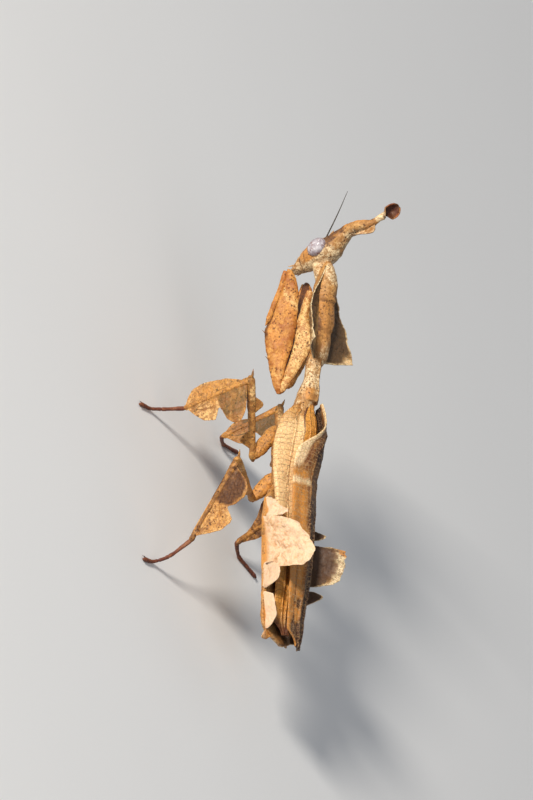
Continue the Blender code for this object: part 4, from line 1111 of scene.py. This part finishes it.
def make_foreleg(name, side):
    """A foreleg folded flat, its shin and foot laid against the spiny thigh."""
    root, elbow, knee = (Vector(joint) for joint in LEGS[name])
    up = Vector((0, -0.3 * side, 0.95))
    seat = Vector((0.2, 0, -0.3))
    coxa = limb((root, elbow), up, ((-0.02, 0.4, 0.4, 0.4), (0.1, 0.35, 0.6, 0.5), (0.18, 0.35, 0.65, 0.5),
        (0.28, 0.6, 0.72, 0.5), (0.38, 1.1, 0.65, 0.5), (0.46, 1.7, 0.55, 0.5), (0.54, 1.5, 0.45, 0.5),
        (0.7, 1.15, 0.35, 0.45), (0.8, 0.92, 0.35, 0.42), (0.93, 0.6, 0.35, 0.38), (1, 0.4, 0.3, 0.35),
        (1.03, 0.2, 0.2, 0.2)), 72, 170, bow=up * 0.35, rumple=(0.06, 1.1, 14))
    t, turn = around(coxa)
    crest = np.maximum(np.sin(TAU * turn), 0)
    dots = np.maximum(hump(t, 0.5, 0.012) * hump(crest, 0.65, 0.06),
        hump(t, 0.57, 0.012) * hump(crest, 0.5, 0.06))
    coxa = tube(coxa, pale=0.5 + 0.25 * hump(t, 0.5, 0.2), warm=0.45 * ramp(t, 0.7, 0.25), dark=dots)
    femur = limb((elbow + seat, knee), up,
        ((-0.01, 0.2, 0.25, 0.2), (0.03, 0.45, 0.6, 0.45), (0.1, 0.3, 0.95, 0.45), (0.23, 0.55, 1.4, 0.45),
        (0.37, 0.98, 1.8, 0.5), (0.5, 1.22, 2.05, 0.5), (0.6, 1.33, 1.55, 0.5), (0.74, 1.33, 1, 0.45),
        (0.85, 1.22, 0.5, 0.45), (0.93, 1.02, 0.25, 0.45), (0.99, 0.66, 0.2, 0.38), (1.02, 0.2, 0.1, 0.16)),
        84, 190)
    t, turn = around(femur)
    flat = abs(np.cos(TAU * turn)) ** 2
    high = np.sin(TAU * turn)
    fold = hump(high, 0.15, 0.1) * ramp(t, 0.15, 0.2) * fade(t, 0.9, 0.1)
    femur = raised(femur, True, -0.05 * fold)
    femur = rumpled(femur, True, 0.1, 0.8, 15)
    patch = hump(t, 0.69 - 0.06 * high, 0.045) * ramp(high, -0.6, 0.4) + 0.5 * hump(t, 0.27, 0.1) * flat
    stain = hump(t, 0.57, 0.05) * hump(high, 0.75, 0.3) + 0.7 * hump(t, 0.42 - 0.08 * high, 0.035) * flat
    # The inner face is dark: the animal's own dark inner thigh, deepened as painted shade in the hollow
    # between the forelegs.
    inner = step_up((-side * np.cos(TAU * turn) - 0.15) / 0.5)
    # Painted shade: the underside of the thigh, where the shin folds in, is darkened.
    groove = step_up((-high - 0.72) / 0.15) * ramp(t, 0.4, 0.1)
    femur = tube(femur, pale=0.75 * patch + 0.25 * hump(t, 0.05, 0.08), warm=0.35 * flat + 0.5 * stain,
        dark=np.clip(0.95 * inner + 0.8 * groove + 0.32 * stain, 0, 1))
    shin_side, above = frame_of(knee - elbow, up)
    reach = knee - elbow
    bend = [elbow + reach * t - above * drop for t,
        drop in ((0.985, 0.3), (0.85, 0.68), (0.74, 1.18), (0.6, 1.78), (0.54, 2.12))]
    tibia = limb(bend, up, ((-0.04, 0.25, 0.25, 0.3), (0.1, 0.33, 0.33, 0.38), (0.5, 0.33, 0.33, 0.38),
        (0.85, 0.3, 0.3, 0.33), (1, 0.05, 0.05, 0.05)), 32, 90, rumple=(0.04, 1.6, 16))
    tibia = tube(tibia, warm=0.3)
    inward = shin_side if shin_side.y * side < 0 else -shin_side
    start = bend[3] + inward * 0.45
    foot_route = [start, start + inward * 0.4 - reach * 0.05 - above * 0.15,
        elbow + reach * 0.25 - above * 1.65 + inward * 1.15]
    tarsus = limb(foot_route, up, even((0, 0.2), (0.9, 0.16), (1, 0.08)), 16, 90,
        bumps=lambda t: 1 - 0.25 * abs(math.sin(math.pi * TOE_JOINTS * t)) ** 14)
    shells = [coxa, femur, tibia]
    for k in range(THIGH_SPINES):
        t = 0.12 + 0.036 * k
        drop = float(blend(((0.1, 1), (0.23, 1.4), (0.37, 1.8), (0.5, 2.05), (0.6, 1.6)), t)[0])
        base = elbow + reach * t - above * (drop - 0.1) + seat * (1 - t)
        for row, lean in ((0.2, 0.55), (-0.15, -0.35)):
            shells.append(spike(base + above * 0.12 + inward * row,
                inward * lean - above * 0.6 + reach.normalized() * 0.5, 0.28 + 0.34 * (k % 6 == 4), 0.065,
                8, dark=0.6, pale=0.2))
    for k in range(SHIN_SPINES):
        base = bend[0].lerp(bend[-1], 0.12 + 0.1 * k)
        shells.append(spike(base + above * 0.25, above * 0.8 + inward * 0.4 - reach.normalized() * 0.3, 0.4,
            0.06, 7, dark=0.8))
    finish = chitin(name + "_cuticle", speck=0.8, mottle=0.65, crinkle=0.2, **ORANGE)
    finish_leg(name, shells, finish, [tube(tarsus, dark=0.2)], chitin(name + "_toes", speck=0.3, **FOOT))


def shin_outline(near, far):
    """Heights of a shin's leaf: one lobe near the knee, a notch, and one lobe near the foot."""
    return ((0, 0.3), (0.12, near * 0.75), (0.26, near), (0.42, near * 0.8), (0.5, far * 0.62), (0.62, far),
        (0.78, far * 0.85), (1, 0.2))


def foot_shells(ankle, tip, sag):
    """The tarsus of five joints, with two claws at its tip, flat on the floor at its end."""
    run = Vector((tip.x - ankle.x, tip.y - ankle.y, 0))
    radius = 0.28
    fall = min(0.62, 0.25 + ankle.z * 0.13)
    joints = [ankle, ankle + run * fall * 0.55 + Vector((sag, 0, -(ankle.z - radius) * 0.68)),
        ankle + run * fall + Vector((sag * 0.8, 0, radius - ankle.z)), tip + Vector((0, 0, radius))]
    ends = (0.42, 0.6, 0.74, 0.86, 1.02)

    def joints_swell(t):
        return 1 - 0.34 * max(math.exp(-(((t - end) / 0.012) ** 2)) for end in ends)

    foot = limb(joints, UP, ((-0.03, 0.15, 0.15, 0.15), (0.02, 0.24, 0.24, 0.24), (0.3, 0.19, 0.19, 0.18),
        (0.41, 0.24, 0.24, 0.22), (0.5, 0.18, 0.2, 0.18), (0.75, 0.19, 0.22, 0.2), (0.92, 0.2, 0.27, 0.24),
        (1, 0.08, 0.2, 0.12)), 24, 170, bumps=joints_swell, rumple=(0.02, 2.2, 17))
    foot[..., 2] = np.maximum(foot[..., 2] - 0.05, 0)
    t = around(foot)[0]
    shells = [tube(foot, pale=0.3 * hump(t, 0.2, 0.2), dark=0.2 * (t > 0.5))]
    ahead = run.normalized()
    for spread in (-1, 1):
        sideways = Vector((-ahead.y, ahead.x, 0)) * spread
        base = tip - ahead * 0.35 + sideways * 0.08 + Vector((0, 0, 0.24))
        shells.append(spike(base, ahead * 0.75 + sideways * 0.7 - UP * 0.25, 0.42, 0.07, 8,
            Vector((0, 0, 0.07)), dark=0.9))
    return shells


def make_walking_leg(name, side, tibia_lobes, femur_lobes, back, dark_tone, sag=0, painted_shade=0, shin_dark=0):
    """A walking leg. Each lobe runs between two shares of its segment, with a direction and heights."""
    root, hip, knee, ankle, tip = (Vector(joint) for joint in LEGS[name])
    up = Vector((0.1, 0, 1))
    coxa = limb((root, hip), Vector((1, 0, 0.3)),
        ((-0.12, 0.3, 0.3, 0.3), (-0.02, 0.6, 0.6, 0.5), (0.2, 0.85, 0.8, 0.7), (0.6, 0.8, 0.75, 0.65),
        (0.9, 0.55, 0.55, 0.5), (1, 0.4, 0.4, 0.38), (1.08, 0.2, 0.2, 0.2)), 44, 80, rumple=(0.08, 1.1, 18))
    t = around(coxa)[0]
    # Painted shade: on the far legs the coxa, thigh, its lobes and the shin are all darkened by one amount,
    # standing in for the shadow they lie in.
    coxa = tube(coxa, warm=0.8, dark=0.25 * ramp(t, 0.75, 0.2) + painted_shade)
    femur = limb((hip, knee), up,
        ((-0.06, 0.15, 0.15, 0.15), (0.02, 0.42, 0.42, 0.4), (0.15, 0.33, 0.33, 0.28),
        (0.5, 0.42, 0.42, 0.3), (0.9, 0.5, 0.5, 0.38), (1, 0.45, 0.45, 0.4), (1.05, 0.2, 0.2, 0.2)), 40,
        120, rumple=(0.06, 1.3, 19))
    t, turn = around(femur)
    patch = hump(t, 0.72, 0.09) * step_up((np.sin(TAU * turn) + 0.2) / 0.4)
    femur = tube(femur, pale=0.85 * patch, warm=0.2, dark=0.45 * hump(t, 0.92, 0.1)
        + 0.4 * hump(t, 0.12, 0.1) + painted_shade)
    thigh, shin = knee - hip, ankle - knee
    shells = [coxa, femur]
    for k, (a, b, out, heights) in enumerate(femur_lobes):
        shells.append(leaf((hip + thigh * a, hip + thigh * b), out, heights, crease=0.06, seed=60 + k,
            columns=70, rows=40, tint=lambda u, v, edge: {"warm": 0.4, "pale": 0.35 * edge, "dark": painted_shade}))
    shells.append(spike(knee, (-0.85, side * 0.25, 0.5), 1.2, 0.22, 12, Vector((0, 0, 0.08)), dark=0.45))
    tibia = limb((knee, ankle), back,
        ((-0.05, 0.1, 0.1, 0.1), (0, 0.34, 0.34, 0.32), (0.08, 0.42, 0.42, 0.36), (0.3, 0.3, 0.3, 0.28),
        (0.8, 0.24, 0.24, 0.24), (0.97, 0.3, 0.3, 0.28), (1.02, 0.12, 0.12, 0.12)), 36, 110,
        rumple=(0.045, 1.5, 20))
    t = around(tibia)[0]
    shells.append(tube(tibia, warm=0.5, dark=0.35 * hump(t, 0, 0.15) + painted_shade + shin_dark))
    for k, (a, b, out, heights, shape) in enumerate(tibia_lobes):
        shells.append(leaf((knee + shin * a, knee + shin * b), out, heights, seed=70 + k, columns=130,
            rows=80, **shape))
    colours = dict(LEAF, dark=dark_tone)
    finish = chitin(name + "_leaf", speck=0.85, speck_size=2.7, mottle=0.75, crinkle=0.35, soft=0.1,
        **colours)
    toes = chitin(name + "_toes", speck=0.45, roughness=0.5, **FOOT)
    finish_leg(name, shells, finish, foot_shells(ankle, tip, sag), toes)


def two_toned(near_dark, far_pale, painted_shade=0):
    """The near lobe of a shin's leaf is olive and dark, and the far lobe light orange."""
    def tint(u, v, edge):
        far = ramp(u, 0.46, 0.06)
        rib = hump(v, 0.5, 0.03) * far
        return {"pale": far_pale * far * (1 - rib) + 0.25 * edge, "warm": 0.5 * far,
            # Painted shade: on the far legs the whole leaf is darkened by one more amount, standing in for
            # their shadow.
            "dark": np.clip(near_dark * (1 - far) * (1 - 0.6 * edge) + 0.45 * rib + painted_shade, 0, 1)}
    return tint


def make_walking_legs():
    down = Vector((0.1, -0.45, -0.88))
    bump = ((0, 0.2), (0.5, 1.3), (1, 0.2))
    arch = ((0, 0.3), (0.2, 1.1), (0.46, 1.65), (0.65, 1.85), (0.79, 1.7), (0.91, 1.1), (1, 0.2))
    little = ((0, 0.2), (0.3, 0.5), (0.6, 0.9), (1, 0.2))
    wedge = ((0, 0.4), (0.15, 1.8), (0.35, 2.2), (0.6, 1.1), (0.85, 0.4), (1, 0.2))
    rear, fore = Vector((1, 0, 0)), Vector((-1, 0, 0))
    slope = Vector((0.652, 0, 0.758))
    olive = (0.085, 0.055, 0.02)
    midrib = [((0.46, 0.12), (0.98, 0.5), 0.05), ((0.1, 0.1), (0.3, 0.85), 0.04)]
    midrib += [((0.54 + 0.09 * k, 0.2), (0.52 + 0.1 * k, 0.85), 0.02) for k in range(4)]
    make_walking_leg("midleg_L", LEFT,
        [(0.06, 0.97, rear, shin_outline(4.2, 2.6),
        {"ripple": 0.25, "crease": 0.12, "ribs": midrib, "tint": two_toned(0.55, 0.6)}),
        (0.1, 0.98, fore, arch, {"crease": 0.09, "tint": two_toned(0.1, 0.45)})],
        [(0.1, 0.36, down, bump), (0.55, 0.8, -down, bump)], rear, olive)
    # The far mid leg lies in shade: its leaves and shaft carry painted shade.
    make_walking_leg("midleg_R", RIGHT,
        [(0.06, 0.97, rear, shin_outline(2.6, 2),
        {"ripple": 0.2, "crease": 0.1, "tint": two_toned(0.6, 0.2, 0.25)}),
        (0.3, 0.97, fore, little, {"crease": 0.08, "tint": two_toned(0.4, 0.2, 0.25)})],
        [(0.1, 0.36, Vector((0.1, 0.45, -0.88)), bump), (0.55, 0.8, Vector((0.2, 0.1, 1)), bump)], rear,
        olive, painted_shade=0.25)
    # The near hind leg's shin is a darker red all along its length.
    make_walking_leg("hindleg_L", LEFT,
        [(0.06, 0.93, slope, shin_outline(3.3, 3),
        {"ripple": 0.25, "crease": 0.12, "ribs": midrib, "tint": two_toned(0.8, 0.5)})],
        [(0.1, 0.36, Vector((0, -0.3, -0.9)), bump)], slope, LEAF["dark"], sag=0.9, shin_dark=0.5)
    # The far hind leg lies deep in shade: painted shade darkens it nearly to black.
    make_walking_leg("hindleg_R", RIGHT,
        [(0.06, 0.93, fore, wedge, {"ripple": 0.2, "crease": 0.1, "tint": two_toned(0.6, 0.3, 0.6)}),
        (0.3, 0.97, rear, little, {"crease": 0.08, "tint": two_toned(0.5, 0.2, 0.55)})],
        [(0.1, 0.36, Vector((0, 0.3, -0.9)), little)], rear, LEAF["dark"], painted_shade=0.55)


# Camera, floor and light

RIGHT_IN_PHOTO = Vector((0.109, 0.461, 0.88)).normalized()
UP_IN_PHOTO = Vector((-0.897, -0.335, 0.287)).normalized()
VIEW_CENTRE = Vector((-5.11, 4.63, 8)) * MM
VIEW_HEIGHT = 85.1 * MM
DISTANCE = 0.9
SENSOR = 36
LIGHT_DISTANCE = 0.7
FLOOR_REACH = 3


def make_camera():
    """The camera stands to the animal as it does in the photo."""
    data = bpy.data.cameras.new("camera")
    data.sensor_width = SENSOR
    data.lens = SENSOR * DISTANCE / VIEW_HEIGHT
    data.clip_start, data.clip_end = 0.05, 20
    camera = placed("camera", data)
    across = RIGHT_IN_PHOTO
    upward = (UP_IN_PHOTO - across * UP_IN_PHOTO.dot(across)).normalized()
    back = across.cross(upward)
    turn = Matrix((across, upward, back)).transposed().to_4x4()
    camera.matrix_world = Matrix.Translation(VIEW_CENTRE + back * DISTANCE) @ turn
    bpy.context.scene.camera = camera


def make_floor():
    f = Finish("floor_paper")
    tone = f.mix(f.noise(0.02, 3), (0.82, 0.82, 0.81), (0.86, 0.86, 0.85))
    f.bump(f.noise(2, 3), 0.01)
    finish = f.close(tone, 0.85, 0.1)
    bm = bmesh.new()
    bmesh.ops.create_grid(bm, x_segments=8, y_segments=8, size=FLOOR_REACH)
    mesh = bpy.data.meshes.new("floor")
    bm.to_mesh(mesh)
    bm.free()
    mesh.materials.append(finish)
    floor = placed("floor", mesh)


def make_light(name, towards, power, size, tone):
    data = bpy.data.lights.new(name, "AREA")
    data.shape = "DISK"
    data.size = size
    data.energy = power
    data.color = tone
    light = placed(name, data)
    direction = Vector(towards).normalized()
    light.location = direction * LIGHT_DISTANCE
    light.rotation_euler = direction.to_track_quat("Z", "Y").to_euler()
    light.visible_camera = False


def make_lights():
    make_light("key", (-0.2, -1, 0.36), 6.2, 0.12, (1, 0.95, 0.88))
    make_light("fill", (0.5, -0.3, 1), 0.8, 0.7, (0.95, 0.97, 1))
    make_light("rim", (-0.6, 0.9, 0.8), 0.35, 0.4, (1, 0.98, 0.95))
    world = bpy.data.worlds.new("studio")
    bpy.context.scene.world = world
    world.use_nodes = True
    sky = world.node_tree.nodes["Background"]
    sky.inputs["Color"].default_value = (0.85, 0.9, 1, 1)
    sky.inputs["Strength"].default_value = 0.22
    bpy.context.scene.view_settings.view_transform = "Standard"


make_camera()
make_floor()
make_lights()
make_body()
make_crest()
make_face()
make_eyes()
make_antennae()
make_shield()
make_wings()
make_lobes()
make_foreleg("foreleg_L", LEFT)
make_foreleg("foreleg_R", RIGHT)
make_walking_legs()
